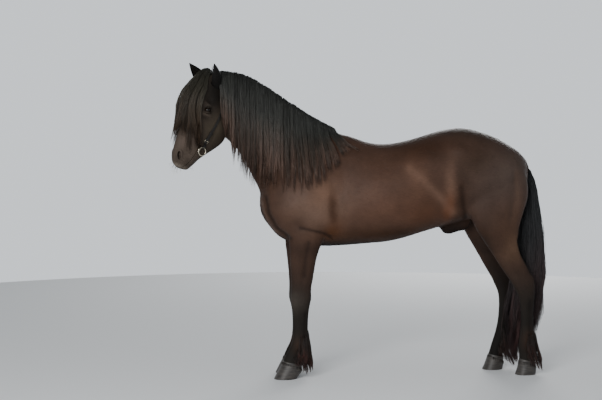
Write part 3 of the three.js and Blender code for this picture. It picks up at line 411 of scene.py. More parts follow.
def head_base():
    """The head with its cheekbones, lids, nostrils and relief, in its own frame."""
    bm = bmesh.new()
    rows = [(-front, -drop, -back, -drop, wide, jaw, square)
            for drop, front, back, wide, jaw, square in FACE]
    add_tube(bm, [section(row, 40, 1.5) for row in refine(rows, 4)])
    for side in (-1, 1):
        ball(bm, on_head(171, -4, side * 66), (0.043, 0.025, 0.023),
             Matrix.Rotation(math.radians(20), 4, "Y"))
        add_tube(bm, lid_ring(side, True))
        add_tube(bm, lid_ring(side, False))
        add_tube(bm, nostril_ring(side))
    mesh = remeshed("head_base", mesh_of("head_base", bm), HEAD_VOXEL, 5)
    at, out = corners(mesh), corners(mesh, "normal")
    push = np.zeros(len(at))
    for drop, front, aside, *reach, height in HEAD_RELIEF:
        far, forward, broad = (value * MM for value in reach)
        for side in sides_of(aside):
            push += height * MM * swell(at, on_head(drop, front, side * aside), (forward, broad, far))
    move_corners(mesh, at + out * push[:, None])
    return mesh


def head_cuts():
    """What is taken out of the head: the sockets, the nostrils' passages and the line of the mouth."""
    bm = bmesh.new()
    for side in (-1, 1):
        ball(bm, on_head(*EYE_PLACE, side * EYE_ASIDE), (EYE_RADIUS + 0.0005,) * 3)
        place = on_head(*NOSTRIL, side * NOSTRIL_ASIDE) - nostril_way(side) * 0.004
        ball(bm, place, (0.0115, 0.021, 0.027),
             Matrix.Rotation(math.radians(side * 50), 4, "Z") @ Matrix.Rotation(math.radians(-20), 4, "Y"))
    rings = []
    half_gap = 1.7
    for i, (drop, front) in enumerate(MOUTH):
        after, before = MOUTH[min(i + 1, len(MOUTH) - 1)], MOUTH[max(i - 1, 0)]
        slope = Vector((before[1] - after[1], after[0] - before[0])).normalized() * half_gap
        rings.append([on_head(drop + slope.x * k, front + slope.y * k, aside)
                      for aside, k in ((-90, -1), (90, -1), (90, 1), (-90, 1))])
    add_tube(bm, rings)
    return mesh_of("head_cuts", bm)


# Skin

# Relief of the body on both sides: x, aside, z, reach along, reach aside, reach up, height
BODY_RELIEF = [
    (-60, 150, 1180, 30, 90, 120, -5), (60, 190, 915, 80, 60, 34, 8), (20, 160, 838, 60, 50, 16, 3),
    (120, 190, 960, 70, 60, 80, 6), (140, 165, 850, 40, 50, 40, 5), (215, 200, 870, 45, 80, 60, -6),
    (-208, 62, 1000, 50, 45, 60, 3), (-190, 0, 900, 60, 90, 60, -9), (-236, 0, 1000, 60, 18, 90, -7),
    (-70, 140, 740, 50, 50, 70, 4), (70, 140, 720, 30, 50, 60, -3), (-8, 165, 600, 16, 30, 70, -3),
    (-70, 118, 455, 14, 34, 34, 3), (40, 118, 470, 14, 20, 26, 4), (-12, 92, 330, 14, 20, 90, -3),
    (-12, 148, 330, 14, 20, 90, -3), (30, 115, 205, 20, 30, 24, 4), (905, 250, 1335, 45, 60, 30, 7),
    (940, 225, 905, 50, 60, 70, 8), (870, 235, 940, 40, 60, 80, -8), (1100, 175, 800, 60, 50, 70, 5),
    (1245, 120, 690, 26, 40, 80, -7), (1215, 190, 1010, 22, 90, 150, -6), (1285, 0, 1120, 60, 22, 160, -8),
    (1365, 112, 560, 18, 24, 24, 4), (1255, 112, 515, 20, 30, 26, 3), (1325, 84, 350, 14, 16, 90, -3),
    (1325, 130, 350, 14, 16, 90, -3), (1372, 105, 205, 18, 30, 22, 4), (1180, 0, 1400, 160, 16, 40, -3),
    (400, 0, 1370, 200, 20, 30, -2), (1000, 190, 1180, 30, 90, 120, -3),
]
# Creases seen from the side: points (x, z), how far from the midline they start, width and depth
# (millimetres)
CREASES = [
    ([(-25, 884), (20, 874), (70, 862), (120, 848), (158, 822)], 105, 10, 9),
    ([(-214, 1060), (-198, 960), (-152, 880), (-75, 822)], 40, 10, 7),
    ([(905, 1110), (928, 1000), (985, 895)], 110, 17, 7),
    ([(1228, 1190), (1240, 1050), (1212, 925)], 90, 18, 5), ([(24, 800), (8, 700), (2, 600)], 100, 12, 5),
    ([(10, 385), (6, 250)], 85, 9, 4), ([(1335, 440), (1338, 255)], 80, 9, 4),
    ([(1262, 800), (1290, 700), (1345, 600)], 85, 12, 5),
    ([(150, 1150), (205, 1000), (200, 880)], 120, 24, 5),
]


def leg_shift(swing, side, z):
    """How far back a leg stands at one height, in millimetres."""
    low, high = BEND_HEIGHTS
    rise = min(max((z - low) / (high - low), 0), 1)
    bend = swing["bend"] * (1 - rise * rise * (3 - 2 * rise)) if side < 0 else 0
    return swing[side] * max(0, swing["from"] - z) / swing["from"] + bend


def swing_at(x):
    """The swing of the legs at a table's x."""
    return HIND_SWING if x > 600 else FORE_SWING


def swung(rows, side, swing):
    """A left leg's table as the leg of either side stands."""
    return [(ax + leg_shift(swing, side, az), az, bx + leg_shift(swing, side, bz), bz,
             wide, trail, square, aside * side) for ax, az, bx, bz, wide, trail, square, aside in rows]


def hoof_rows(side, hind):
    return swung(HIND_HOOF, side, HIND_SWING) if hind else swung(FORE_HOOF, side, FORE_SWING)


def segment_distance(points, start, end):
    """How far points of a plane are from a straight piece of line."""
    start, run = np.array(start), np.array(end) - np.array(start)
    along = np.clip((points - start) @ run / (run @ run), 0, 1)
    return np.linalg.norm(points - start - along[:, None] * run, axis=1)


def line_distance(at, line, side):
    """How far points are, seen from the side, from a line drawn on one side of the body."""
    bent = [(ahead(x + leg_shift(swing_at(x), side, z)), z * MM) for x, z in line]
    return np.min([segment_distance(at[:, [0, 2]], a, b) for a, b in zip(bent, bent[1:])], axis=0)


def line_weight(at, line, aside, width, side, height=1.0):
    """The height of a soft ridge along a line on one side, which starts some way out from the midline."""
    outside = np.clip((at[:, 1] * side - aside * MM) / (30 * MM) + 1, 0, 1)
    return height * outside * np.exp(-(line_distance(at, line, side) / (width * MM)) ** 2)


def add_muscles(ring):
    """Moves a ring of the trunk out or in where its muscles swell."""
    side = np.clip((np.abs(ring[:, 1]) - 0.025) / 0.085, 0, 1)
    side = side * side * (3 - 2 * side) * np.sign(ring[:, 1])
    for x, z, along, up, tilt, amount in TRUNK_MUSCLES:
        dx, dz = ring[:, 0] - FRONT_SHIFT - x * MM, ring[:, 2] - z * MM
        c, s = math.cos(math.radians(tilt)), math.sin(math.radians(tilt))
        ring[:, 1] += side * amount * MM * np.exp(
            -((dx * c - dz * s) / (along * MM)) ** 2 - ((dx * s + dz * c) / (up * MM)) ** 2)


def body_base():
    """Trunk, neck, sheath, dock and legs as one surface, with its relief and creases."""
    bm = bmesh.new()
    trunk = body_rings(TRUNK, 48, 3)
    for ring in trunk:
        add_muscles(ring)
    add_tube(bm, trunk)
    add_tube(bm, body_rings(NECK, 40, 3))
    add_tube(bm, body_rings(SHEATH, 20, 2))
    add_tube(bm, body_rings(DOCK, 20, 2, 4))
    for side in (-1, 1):
        add_tube(bm, body_rings(swung(FORELEG, side, FORE_SWING), 28, 3))
        add_tube(bm, body_rings(swung(HINDLEG, side, HIND_SWING), 28, 3))
    mesh = remeshed("body_base", mesh_of("body_base", bm), BODY_VOXEL, 6)
    at, out = corners(mesh), corners(mesh, "normal")
    push = np.zeros(len(at))
    for x, aside, z, *reach, height in BODY_RELIEF:
        for side in sides_of(aside):
            step = leg_shift(swing_at(x), side, z)
            place = (FRONT_SHIFT + (x + step) * MM, side * aside * MM, z * MM)
            push += height * MM * swell(at, place, [value * MM for value in reach])
    for line, aside, width, depth in CREASES:
        for side in (-1, 1):
            push -= line_weight(at, line, aside, width, side, depth * MM)
    move_corners(mesh, at + out * push[:, None])
    return mesh


def blended(mesh, weight, rounds):
    """Smooths the mesh where the weight of a point says so, to melt one form into the next."""
    piece = loose("blended", mesh)
    group = piece.vertex_groups.new(name="melt")
    for step in range(1, 11):
        near = np.nonzero((weight > (step - 0.5) / 10) & (weight <= (step + 0.5) / 10))[0]
        group.add(near.tolist(), step / 10, "REPLACE")
    return settled("skin", piece, smooth={"factor": 0.5, "iterations": rounds, "vertex_group": "melt"})


# Where one form melts into the next: x, aside, z, reach of each (millimetres)
JUNCTIONS = [
    (30, 150, 830, 170, 90, 130), (1080, 140, 900, 260, 110, 190), (-40, 120, 1000, 190, 150, 200),
    (900, 0, 870, 90, 60, 60), (160, 60, 1400, 200, 90, 60), (1290, 60, 1260, 80, 60, 80),
]


def junctions(at):
    """How strongly the skin is smoothed: where the legs leave the trunk, and round the throat."""
    local = in_body(at)
    weight = np.zeros(len(at))
    for x, aside, z, *reach in JUNCTIONS:
        for side in (-1, 1):
            place = (x * MM, side * aside * MM, z * MM)
            weight += 1.2 * swell(local, place, [value * MM for value in reach])
    weight += 1.2 * swell(at, HEAD @ on_head(150, -200, 0), (0.10, 0.12, 0.16))
    weight += 0.9 * swell(at, HEAD @ on_head(30, -80, 0), (0.07, 0.09, 0.07))
    return np.clip(weight, 0, 1)


def make_skin():
    """One closed skin over head, neck, trunk and legs."""
    body = body_base()
    head = combined(head_base(), head_cuts(), "DIFFERENCE")
    head.transform(HEAD)
    mesh = combined(body, head, "UNION")
    mesh = blended(mesh, junctions(corners(mesh)), 14)
    mesh = settled("skin", loose("skin", mesh), decimate={"ratio": SKIN_SHARE})
    mesh.set_sharp_from_angle(angle=math.radians(60))
    return mesh


skin_mesh = make_skin()


# Colours and finishes

def linear(code):
    """The linear RGBA of an sRGB hex colour."""
    parts = [int(code[i:i + 2], 16) / 255 for i in (1, 3, 5)]
    return np.array([p / 12.92 if p <= 0.04045 else ((p + 0.055) / 1.055) ** 2.4 for p in parts] + [1.0])


def add(tree, kind, inputs=None, **settings):
    """A shader node with its settings, and its inputs set or linked."""
    made = tree.nodes.new("ShaderNode" + kind)
    for key, value in settings.items():
        setattr(made, key, value)
    for key, value in (inputs or {}).items():
        if isinstance(value, bpy.types.NodeSocket):
            tree.links.new(value, made.inputs[key])
        else:
            made.inputs[key].default_value = value
    return made


def blank(name, **shader):
    """A new material with its Principled shader's plain values set."""
    material = bpy.data.materials.new(name)
    material.use_nodes = True
    tree = material.node_tree
    surface = tree.nodes["Principled BSDF"]
    for key, value in shader.items():
        surface.inputs[key.replace("_", " ").title().replace("Ior", "IOR")].default_value = value
    return material, tree, surface


def streaks(tree, at, scale, detail=4.0):
    """Noise drawn out along the lie of the coat."""
    place = add(tree, "Mapping", {"Vector": at, "Scale": scale})
    return add(tree, "TexNoise",
               {"Vector": place.outputs["Vector"], "Scale": 1.0, "Detail": detail, "Roughness": 0.6})


def short_coat():
    """Short flat hair: colours painted on the skin's points, broken up by streaks that run with the hair.
    Single hairs are 0.06 mm wide, too fine to show, so the streaks are drawn 3 mm wide and 20 mm long.
    The coat is duller where it hangs, because its ends show."""
    material, tree, surface = blank("short_glossy_horse_coat", specular_ior_level=0.1)
    at = add(tree, "TexCoord").outputs["Object"]
    colour = add(tree, "VertexColor", layer_name="Coat")
    lie = add(tree, "Attribute", attribute_name="Lie", attribute_type="GEOMETRY")
    flat = streaks(tree, at, (50, 330, 330))
    hanging = streaks(tree, at, (330, 330, 50))
    fibre = add(tree, "Mix",
                {"Factor": lie.outputs["Fac"], 2: flat.outputs["Fac"], 3: hanging.outputs["Fac"]})
    patch = add(tree, "TexNoise", {"Vector": at, "Scale": 9.0, "Detail": 5.0, "Roughness": 0.55})
    tone = add(tree, "Math", {0: fibre.outputs[0], 1: 0.55}, operation="MULTIPLY")
    tone = add(tree, "Math", {0: patch.outputs["Fac"], 1: 0.75, 2: tone.outputs[0]},
               operation="MULTIPLY_ADD")
    tone = add(tree, "Math", {0: tone.outputs[0], 1: 0.35}, operation="ADD")
    shade = add(tree, "VectorMath", {0: colour.outputs["Color"], "Scale": tone.outputs[0]},
                operation="SCALE")
    tree.links.new(shade.outputs["Vector"], surface.inputs["Base Color"])
    dullness = add(tree, "Math", {0: lie.outputs["Fac"], 1: 0.22, 2: 0.5}, operation="MULTIPLY_ADD")
    tree.links.new(dullness.outputs[0], surface.inputs["Roughness"])
    bump = add(tree, "Bump", {"Height": fibre.outputs[0], "Strength": 0.24, "Distance": 0.0015})
    tree.links.new(bump.outputs["Normal"], surface.inputs["Normal"])
    return material


def long_hair():
    """Coarse straight horse hair: colours painted along each strand, with a soft sheen."""
    material, tree, surface = blank("long_coarse_horse_hair", roughness=0.42, specular_ior_level=0.25)
    colour = add(tree, "VertexColor", layer_name="Coat")
    tree.links.new(colour.outputs["Color"], surface.inputs["Base Color"])
    return material


def hoof_horn():
    """Dark satin hoof horn: rings of growth about 6 mm apart round the wall, and fine tubules down it."""
    material, tree, surface = blank("dark_hoof_horn", roughness=0.5, specular_ior_level=0.4)
    at = add(tree, "TexCoord").outputs["Object"]
    rings = streaks(tree, at, (22, 22, 150), 5.0)
    tubules = streaks(tree, at, (420, 420, 30), 2.0)
    colour = add(tree, "ValToRGB", {"Fac": rings.outputs["Fac"]})
    for stop, place, code in zip(colour.color_ramp.elements, (0.3, 0.72), ("#211f1e", "#48433e")):
        stop.position, stop.color = place, linear(code)
    tree.links.new(colour.outputs["Color"], surface.inputs["Base Color"])
    height = add(tree, "Math", {0: tubules.outputs["Fac"], 1: 0.3, 2: rings.outputs["Fac"]},
                 operation="MULTIPLY_ADD")
    bump = add(tree, "Bump", {"Height": height.outputs[0], "Strength": 0.4, "Distance": 0.0015})
    tree.links.new(bump.outputs["Normal"], surface.inputs["Normal"])
    return material


def strap_leather():
    """Black bridle leather with a worn satin face and fine grain."""
    material, tree, surface = blank("black_bridle_leather", roughness=0.5, specular_ior_level=0.3)
    surface.inputs["Base Color"].default_value = linear("#14110f")
    at = add(tree, "TexCoord").outputs["Object"]
    grain = add(tree, "TexVoronoi", {"Vector": at, "Scale": 900.0}, feature="DISTANCE_TO_EDGE")
    bump = add(tree, "Bump", {"Height": grain.outputs["Distance"], "Strength": 0.3, "Distance": 0.0004})
    tree.links.new(bump.outputs["Normal"], surface.inputs["Normal"])
    return material


def bit_steel():
    """Polished stainless steel, slightly brushed by wear."""
    material, tree, surface = blank("polished_stainless_steel", metallic=1.0, roughness=0.22)
    surface.inputs["Base Color"].default_value = linear("#b3aa98")
    at = add(tree, "TexCoord").outputs["Object"]
    wear = add(tree, "TexNoise", {"Vector": at, "Scale": 160.0, "Detail": 3.0})
    bump = add(tree, "Bump", {"Height": wear.outputs["Fac"], "Strength": 0.1, "Distance": 0.0003})
    tree.links.new(bump.outputs["Normal"], surface.inputs["Normal"])
    return material


def waxed_thread():
    """Waxed linen thread, a dull brown-black."""
    material, tree, surface = blank("waxed_linen_thread", roughness=0.7)
    surface.inputs["Base Color"].default_value = linear("#3a332b")
    at = add(tree, "TexCoord").outputs["Object"]
    twist = add(tree, "TexNoise", {"Vector": at, "Scale": 2500.0})
    bump = add(tree, "Bump", {"Height": twist.outputs["Fac"], "Strength": 0.4, "Distance": 0.0002})
    tree.links.new(bump.outputs["Normal"], surface.inputs["Normal"])
    return material


def wet_eye():
    """A horse's eye: a nearly black iris with a darker level pupil, painted on points, under a wet gloss."""
    material, tree, surface = blank("wet_dark_brown_eye", roughness=0.16, specular_ior_level=0.22)
    colour = add(tree, "VertexColor", layer_name="Coat")
    tree.links.new(colour.outputs["Color"], surface.inputs["Base Color"])
    return material


COAT, HAIR, HORN = short_coat(), long_hair(), hoof_horn()
rng = np.random.default_rng(23)
LEATHER, STEEL, EYE, THREAD = strap_leather(), bit_steel(), wet_eye(), waxed_thread()

# Where the coat differs from its main brown, by its own colour and by painted highlights and shade: x,
# aside, z (millimetres), reach of each, colour, strength
MAIN = linear("#402e25")
COAT_MARKS_AND_PAINTED_LIGHT = [
    # The first mark is a painted highlight over the middle of the barrel
    (430, 260, 1050, 300, 140, 170, "#4e362a", 0.8), (700, 240, 960, 120, 140, 100, "#4c3020", 0.6),
    (170, 240, 880, 50, 140, 70, "#4b2c18", 0.75), (640, 260, 1190, 60, 120, 150, "#5a4032", 0.6),
    (1120, 200, 1150, 250, 200, 260, "#3f332d", 0.85), (1000, 0, 1440, 330, 200, 60, "#2f2620", 0.8),
    # The first mark is a painted highlight band on the flank
    (838, 220, 1110, 34, 150, 150, "#6b5143", 0.7), (835, 220, 990, 36, 150, 80, "#61371f", 0.7),
    # The first mark is painted shade in the crease in front of the thigh
    (905, 220, 1060, 40, 150, 170, "#2e1d13", 0.6), (980, 220, 1260, 90, 150, 90, "#33251c", 0.7),
    (1190, 160, 900, 120, 120, 130, "#453126", 0.7), (1230, 120, 760, 70, 90, 90, "#5a4434", 0.8),
    (1060, 170, 800, 50, 120, 110, "#241b16", 0.6), (-180, 60, 1000, 120, 120, 160, "#3d2a20", 0.8),
    (-250, 80, 1250, 160, 110, 220, "#2e1f16", 0.8), (400, 0, 1385, 420, 110, 40, "#3f3028", 0.6),
    (700, 120, 1330, 180, 160, 70, "#2c1a0f", 0.7), (1180, 180, 1210, 110, 150, 120, "#4a3e37", 0.6),
    # Both marks are painted highlights over the shoulder
    (60, 190, 990, 170, 170, 130, "#5e493d", 0.9), (100, 190, 1090, 70, 160, 90, "#6a5041", 0.7),
    # The first mark is painted shade in the crease behind the shoulder
    (160, 230, 985, 24, 140, 90, "#2f1a0e", 0.6), (150, 190, 850, 50, 120, 40, "#4c2d17", 0.6),
    # Painted shade in the groove down the middle of the breast
    (-225, 0, 960, 42, 75, 130, "#17110d", 0.85),
    (-40, 150, 900, 50, 90, 60, "#32231b", 0.8), (600, 200, 840, 420, 160, 40, "#2f1b0c", 0.85),
    # The first mark is painted shade under the belly; the second is the sheath
    (300, 0, 758, 600, 200, 46, "#0c0806", 0.97), (900, 0, 850, 150, 70, 70, "#0b0908", 0.97),
    (0, 118, 650, 60, 90, 110, "#382820", 0.6), (-60, 118, 450, 60, 60, 60, "#46403a", 0.7),
    (-20, 115, 190, 40, 60, 50, "#3f2c22", 0.7), (1335, 104, 200, 40, 60, 60, "#3a2419", 0.7),
]
# Painted shade along the folds (the dark lines) and painted sheen and highlights (the light lines), drawn on
# both
# sides: points (x, z), how far from the midline they start, width, colour, strength
PAINTED_FOLD_SHADE_AND_SHEEN = [
    ([(-25, 884), (20, 874), (70, 862), (120, 848), (158, 822)], 105, 9, "#150d09", 0.7),
    ([(-214, 1060), (-198, 960), (-152, 880), (-75, 822)], 40, 9, "#0f0a08", 0.65),
    ([(-240, 1060), (-226, 980), (-196, 905), (-150, 850)], 20, 6, "#57443a", 0.6),
    # A painted sheen streak running down across the flank
    ([(600, 1222), (700, 1130), (800, 1030), (860, 965)], 150, 26, "#75594a", 0.36),
    ([(905, 1110), (922, 1000), (960, 900)], 110, 16, "#1d120c", 0.6),
    ([(148, 1050), (152, 985), (170, 930)], 120, 20, "#2f1b0f", 0.4),
    ([(1228, 1190), (1240, 1050), (1212, 925)], 90, 20, "#4c3a2f", 0.4),
    ([(24, 800), (8, 700), (2, 600)], 100, 12, "#1c1410", 0.5),
    ([(10, 385), (6, 250)], 85, 10, "#15110f", 0.6), ([(1335, 440), (1338, 255)], 80, 10, "#15110f", 0.6),
    ([(1262, 800), (1290, 700), (1345, 600)], 85, 12, "#1a120d", 0.6),
]
# The same on the head, with painted highlights and shade round the eyes, the nostrils and the temples: drop,
# front, aside, reach of each, colour, strength
HEAD_MARKS_AND_PAINTED_LIGHT = [
    (290, -110, 70, 100, 70, 50, "#3b342a", 0.8), (400, 30, 40, 80, 50, 50, "#5a4d45", 0.8),
    # The second mark is a painted highlight on the fold above the eye
    (470, -10, 40, 60, 50, 40, "#4a4038", 0.7), (172, -8, 76, 10, 30, 26, "#423a34", 0.7),
    # A painted highlight on the fold below the eye, then the dark lids with painted shade in the socket
    # round the eyeball
    (224, -8, 74, 8, 28, 26, "#4c4239", 0.75), (199, -9, 78, 15, 26, 22, "#0b0908", 0.97),
    # Painted shade in the wrinkle under the eye and in the hollow above the brow
    (244, -12, 74, 7, 26, 26, "#211b17", 0.7), (150, -10, 78, 12, 26, 26, "#1b1613", 0.7),
    # The first mark is painted shade inside the nostril
    (NOSTRIL[0], NOSTRIL[1] - 2, 30, 24, 13, 14, "#060505", 1.0), (550, 8, 0, 10, 50, 40, "#7d7368", 0.7),
    # The second mark here and the one on the next line darken the temple below the ear: dark hair with
    # painted shade in the hollow
    (520, -44, 0, 30, 20, 40, "#463d36", 0.7), (80, -12, 66, 95, 70, 40, "#110f0d", 0.95),
    (120, -40, 76, 60, 40, 30, "#15120f", 0.9),
]
BLACK_POINTS = linear("#1e1b18")  # the legs
# Painted shade on the inner sides of the legs
INNER_LEG_SHADE = linear("#0f0d0c")
FACE_BLACK = linear("#2f2822")
MUZZLE = linear("#423932")


def overlaid(colour, weight, other):
    """A colour with another laid over it, by a weight at each point."""
    return colour * (1 - weight[:, None]) + other * weight[:, None]


def marked(colour, at, marks, place):
    """The colour with each mark laid over it, alike on both sides."""
    origin = np.array(place(0, 0, 0, 1))
    for *centre, reach_a, reach_b, reach_c, code, strength in marks:
        reach = np.array(place(reach_a, reach_b, reach_c, 1)) - origin
        weight = np.max([swell(at, place(*centre, side), reach) for side in (-1, 1)], axis=0)
        colour = overlaid(colour, weight * strength, linear(code))
    return colour


def in_head(at):
    """Points in the head's own frame, and how surely each is on the head and not on the neck."""
    back = HEAD.inverted()
    face = at @ np.array(back.to_3x3()).T + np.array(back.translation)
    return face, (at[:, 2] > 1.15) * (face[:, 2] < 0.05) * fade(face[:, 0], 0.23, 0.02)


def on_body(x, aside, z, side):
    """A place of the body's tables on one side, in the frame."""
    return ahead(x), side * aside * MM, z * MM


def on_face(drop, front, aside, side):
    """A place of the head's tables on one side, in the head's own frame."""
    return tuple(on_head(drop, front, side * aside))


def coat_colour(at):
    """The coat's colour at points: brown body, black legs and face, paler muzzle, with painted highlights,
    sheen and shade laid over it.
    """
    above_knee = [mark for mark in COAT_MARKS_AND_PAINTED_LIGHT if mark[2] > 700]
    below_knee = [mark for mark in COAT_MARKS_AND_PAINTED_LIGHT if mark[2] <= 700]
    colour = marked(np.tile(MAIN, (len(at), 1)), at, above_knee, on_body)
    colour = overlaid(colour, fade(at[:, 2], 0.60, 0.07), BLACK_POINTS)
    colour = marked(colour, at, below_knee, on_body)
    for line, aside, width, code, strength in PAINTED_FOLD_SHADE_AND_SHEEN:
        near = np.max([line_weight(at, line, aside, width, side) for side in (-1, 1)], axis=0)
        colour = overlaid(colour, near * strength, linear(code))
    # Painted shade on the inner sides of the legs, below the body
    inner_leg_shade = 0.8 * fade(np.abs(at[:, 1]), 0.092, 0.012) * fade(at[:, 2], 0.78, 0.03)
    colour = overlaid(colour, inner_leg_shade, INNER_LEG_SHADE)
    face, share = in_head(at)
    head_colour = overlaid(np.tile(FACE_BLACK, (len(at), 1)), 0.75 * fade(face[:, 2], -0.43, 0.03), MUZZLE)
    return overlaid(colour, share, marked(head_colour, face, HEAD_MARKS_AND_PAINTED_LIGHT, on_face))


def paint(mesh, name, colours):
    layer = mesh.color_attributes.new(name, "FLOAT_COLOR", "POINT")
    layer.data.foreach_set("color", np.ascontiguousarray(colours, dtype=np.float32).ravel())


def comb(mesh):
    """Marks where the coat hangs down, with 1, and where it lies back, with 0."""
    at = corners(mesh)
    hanging = np.maximum(fade(at[:, 2], 0.85, 0.05), fade(at[:, 0] - FRONT_SHIFT, -0.2, 0.03))
    lie = mesh.attributes.new("Lie", "FLOAT", "POINT")
    lie.data.foreach_set("value", hanging.astype(np.float32))


def dress_skin(mesh):
    """The skin as a piece that stands for all the nodes of flesh but the ears and the tail."""
    paint(mesh, "Coat", coat_colour(corners(mesh)))
    comb(mesh)
    piece = dressed("skin", mesh, COAT)
    leg_parts = ("forearm", "fore_cannon", "fore_pastern", "hind_leg", "hind_cannon", "hind_pastern")
    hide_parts("torso", "neck", "head", *[f"{part}_{name}" for name in SIDE_NAMES.values()
                                                  for part in leg_parts])


dress_skin(skin_mesh)
skin_tree = BVHTree.FromPolygons([tuple(v.co) for v in skin_mesh.vertices],
                                 [tuple(p.vertices) for p in skin_mesh.polygons])


# Ears, eyes and hooves

# An ear's outside and its cup from the base up: height, half width, half depth, how far back it bows
EAR_OUTSIDE = [
    (-34, 26, 26, 0), (0, 31, 30, 0), (30, 35, 31, 1), (62, 34, 28, 3), (95, 25, 19, 4), (124, 13, 10, 3),
    (EAR_LENGTH / MM - 2, 2.5, 2.5, 0), (EAR_LENGTH / MM, 0.8, 0.8, 0),
]
EAR_CUP = [(10, 12, 12, 0), (34, 33, 31, 1), (62, 33.5, 29, 3), (95, 24.5, 20, 4), (126, 11.5, 10.5, 3)]
EAR_WALL = 3.2
HOOF_SIDES = 44


def ear(side):
    """A pointed cup, open forward and outward, with thin rolled edges. It gives the matrix it stands by."""
    lean, splay, turn = EAR_POSE[side]
    meshes = []
    for rows, inset, push in ((EAR_OUTSIDE, 0, 0), (EAR_CUP, EAR_WALL, 0.5)):
        table = []
        for height, wide, deep, bow in rows:
            w, d = max(wide - inset, 0.5), max(deep - inset, 0.5)
            x = bow - push * d
            table.append((x - d, height, x + d, height, w, w, 2))
        bm = bmesh.new()
        add_tube(bm, [section(row, 28) for row in refine(table, 4)])
        meshes.append(mesh_of("ear_form", bm))
    mesh = remeshed("ear", combined(*meshes, "DIFFERENCE"), EAR_VOXEL, 4)
    stand = (Matrix.Translation(on_head(40, -18, side * 59))
             @ Matrix.Rotation(math.radians(-side * splay), 4, "X")
             @ Matrix.Rotation(math.radians(-lean), 4, "Y")
             @ Matrix.Rotation(math.radians(side * turn), 4, "Z"))
    mesh.transform(HEAD @ stand)
    paint(mesh, "Coat", np.tile(linear("#110f0e"), (len(mesh.vertices), 1)))
    comb(mesh)
    piece = dressed(f"ear_skin_{SIDE_NAMES[side]}", mesh, COAT)
    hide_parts(f"ear_{SIDE_NAMES[side]}")
    return HEAD @ stand


def eye(side):
    """An eyeball with a slightly raised cornea, a dark brown iris and a level oval pupil."""
    bm = bmesh.new()
    bmesh.ops.create_uvsphere(bm, u_segments=48, v_segments=32, radius=EYE_RADIUS)
    mesh = mesh_of("eye", bm)
    at = corners(mesh)
    out, across, rise = (np.array(way) for way in eye_ways(side))
    off = at / EYE_RADIUS @ out
    bulge = np.clip((off - 0.78) / 0.22, 0, 1)
    move_corners(mesh, at * (1 + 0.06 * bulge * (2 - bulge))[:, None])
    along, up = at @ across / EYE_RADIUS, at @ rise / EYE_RADIUS
    iris = (off > 0.70)[:, None]
    pupil = ((along / 0.42) ** 2 + (up / 0.2) ** 2 < 1)[:, None] & (off > 0)[:, None]
    colour = np.where(iris, linear("#150d08"), linear("#1c1410"))
    colour = np.where(pupil, linear("#040404"), colour)
    mesh.transform(HEAD @ Matrix.Translation(on_head(*EYE_PLACE, side * EYE_ASIDE)))
    paint(mesh, "Coat", colour)
    piece = dressed(f"eyeball_{SIDE_NAMES[side]}", mesh, EYE)
    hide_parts(f"eye_{SIDE_NAMES[side]}")


def hoof(side, hind):
    """A hoof's wall, a little uneven round the quarters, with a small bevel round the sole."""
    name = f"{'hind' if hind else 'fore'}_hoof_{SIDE_NAMES[side]}"
    bm = bmesh.new()
    around = np.arange(HOOF_SIDES)
    wave = 0.0007 * np.sin(around * 0.9) * (0.5 - np.cos(around / 22 * math.pi) / 2)
    rings = body_rings(hoof_rows(side, hind), HOOF_SIDES, 6, 0)
    for ring in rings:
        ring[:, 2] += wave * (ring[:, 2] > 0.03)
    add_tube(bm, rings)
    sole = [edge for edge in bm.edges if all(vert.co.z < 1e-4 for vert in edge.verts)
            and len(edge.link_faces) == 2 and any(len(face.verts) > 8 for face in edge.link_faces)]
    bmesh.ops.bevel(bm, geom=sole, offset=0.0015, segments=2, profile=0.5, affect="EDGES", material=-1)
    piece = finished(f"{name}_horn", bm, HORN)
    piece.data.set_sharp_from_angle(angle=math.radians(50))
    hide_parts(name)


ear_stands = {side: ear(side) for side in (-1, 1)}
for side in (-1, 1):
    eye(side)
    hoof(side, False)
    hoof(side, True)

# Headstall: a loose-ring snaffle on two cheek straps, and a crown strap over the poll

STRAP_LIFT = STRAP_THICKNESS / 2 + 0.0012
CHEEK_LINE = [(372, -84), (340, -88), (300, -93), (260, -97), (220, -99), (180, -97), (140, -91), (100, -82)]


def touch(origin, way):
    """Where a ray of the head's own frame meets the skin, in that frame."""
    start, run = HEAD @ Vector(origin), HEAD.to_3x3() @ Vector(way)
    hit = skin_tree.ray_cast(start, run)[0]
    return HEAD.inverted() @ hit if hit else None


def ring_centre(side):
    """Where a bit ring hangs, in the head's own frame: the mouthpiece passes through its front."""
    return on_head(BIT["drop"] + 4, BIT["front"] - (RING_RADIUS - RING_TUBE) / MM, side * BIT["reach"])


def frames(points, outs):
    """Along a line: its point, the way along it, across it and out of it."""
    made = []
    for i, point in enumerate(points):
        way = (points[min(i + 1, len(points) - 1)] - points[max(i - 1, 0)]).normalized()
        across = way.cross(outs[i]).normalized()
        made.append((point, way, across, across.cross(way).normalized()))
    return made


def band(bm, line, width, thickness, lift=0.0):
    """A flat strap with rounded edges along a line of frames."""
    rings = []
    for point, way, across, out in line:
        ring = []
        for angle in angles(16):
            w, d = rounded_square(angle, 0.45)
            ring.append(point + across * w * width / 2 + out * (lift + d * thickness / 2))
        rings.append(ring)
    add_tube(bm, rings)


def far_along(points):
    """How far each of a row of points is from the first, along the row."""
    return np.concatenate([[0], np.cumsum(np.linalg.norm(np.diff(points, axis=0), axis=1))])


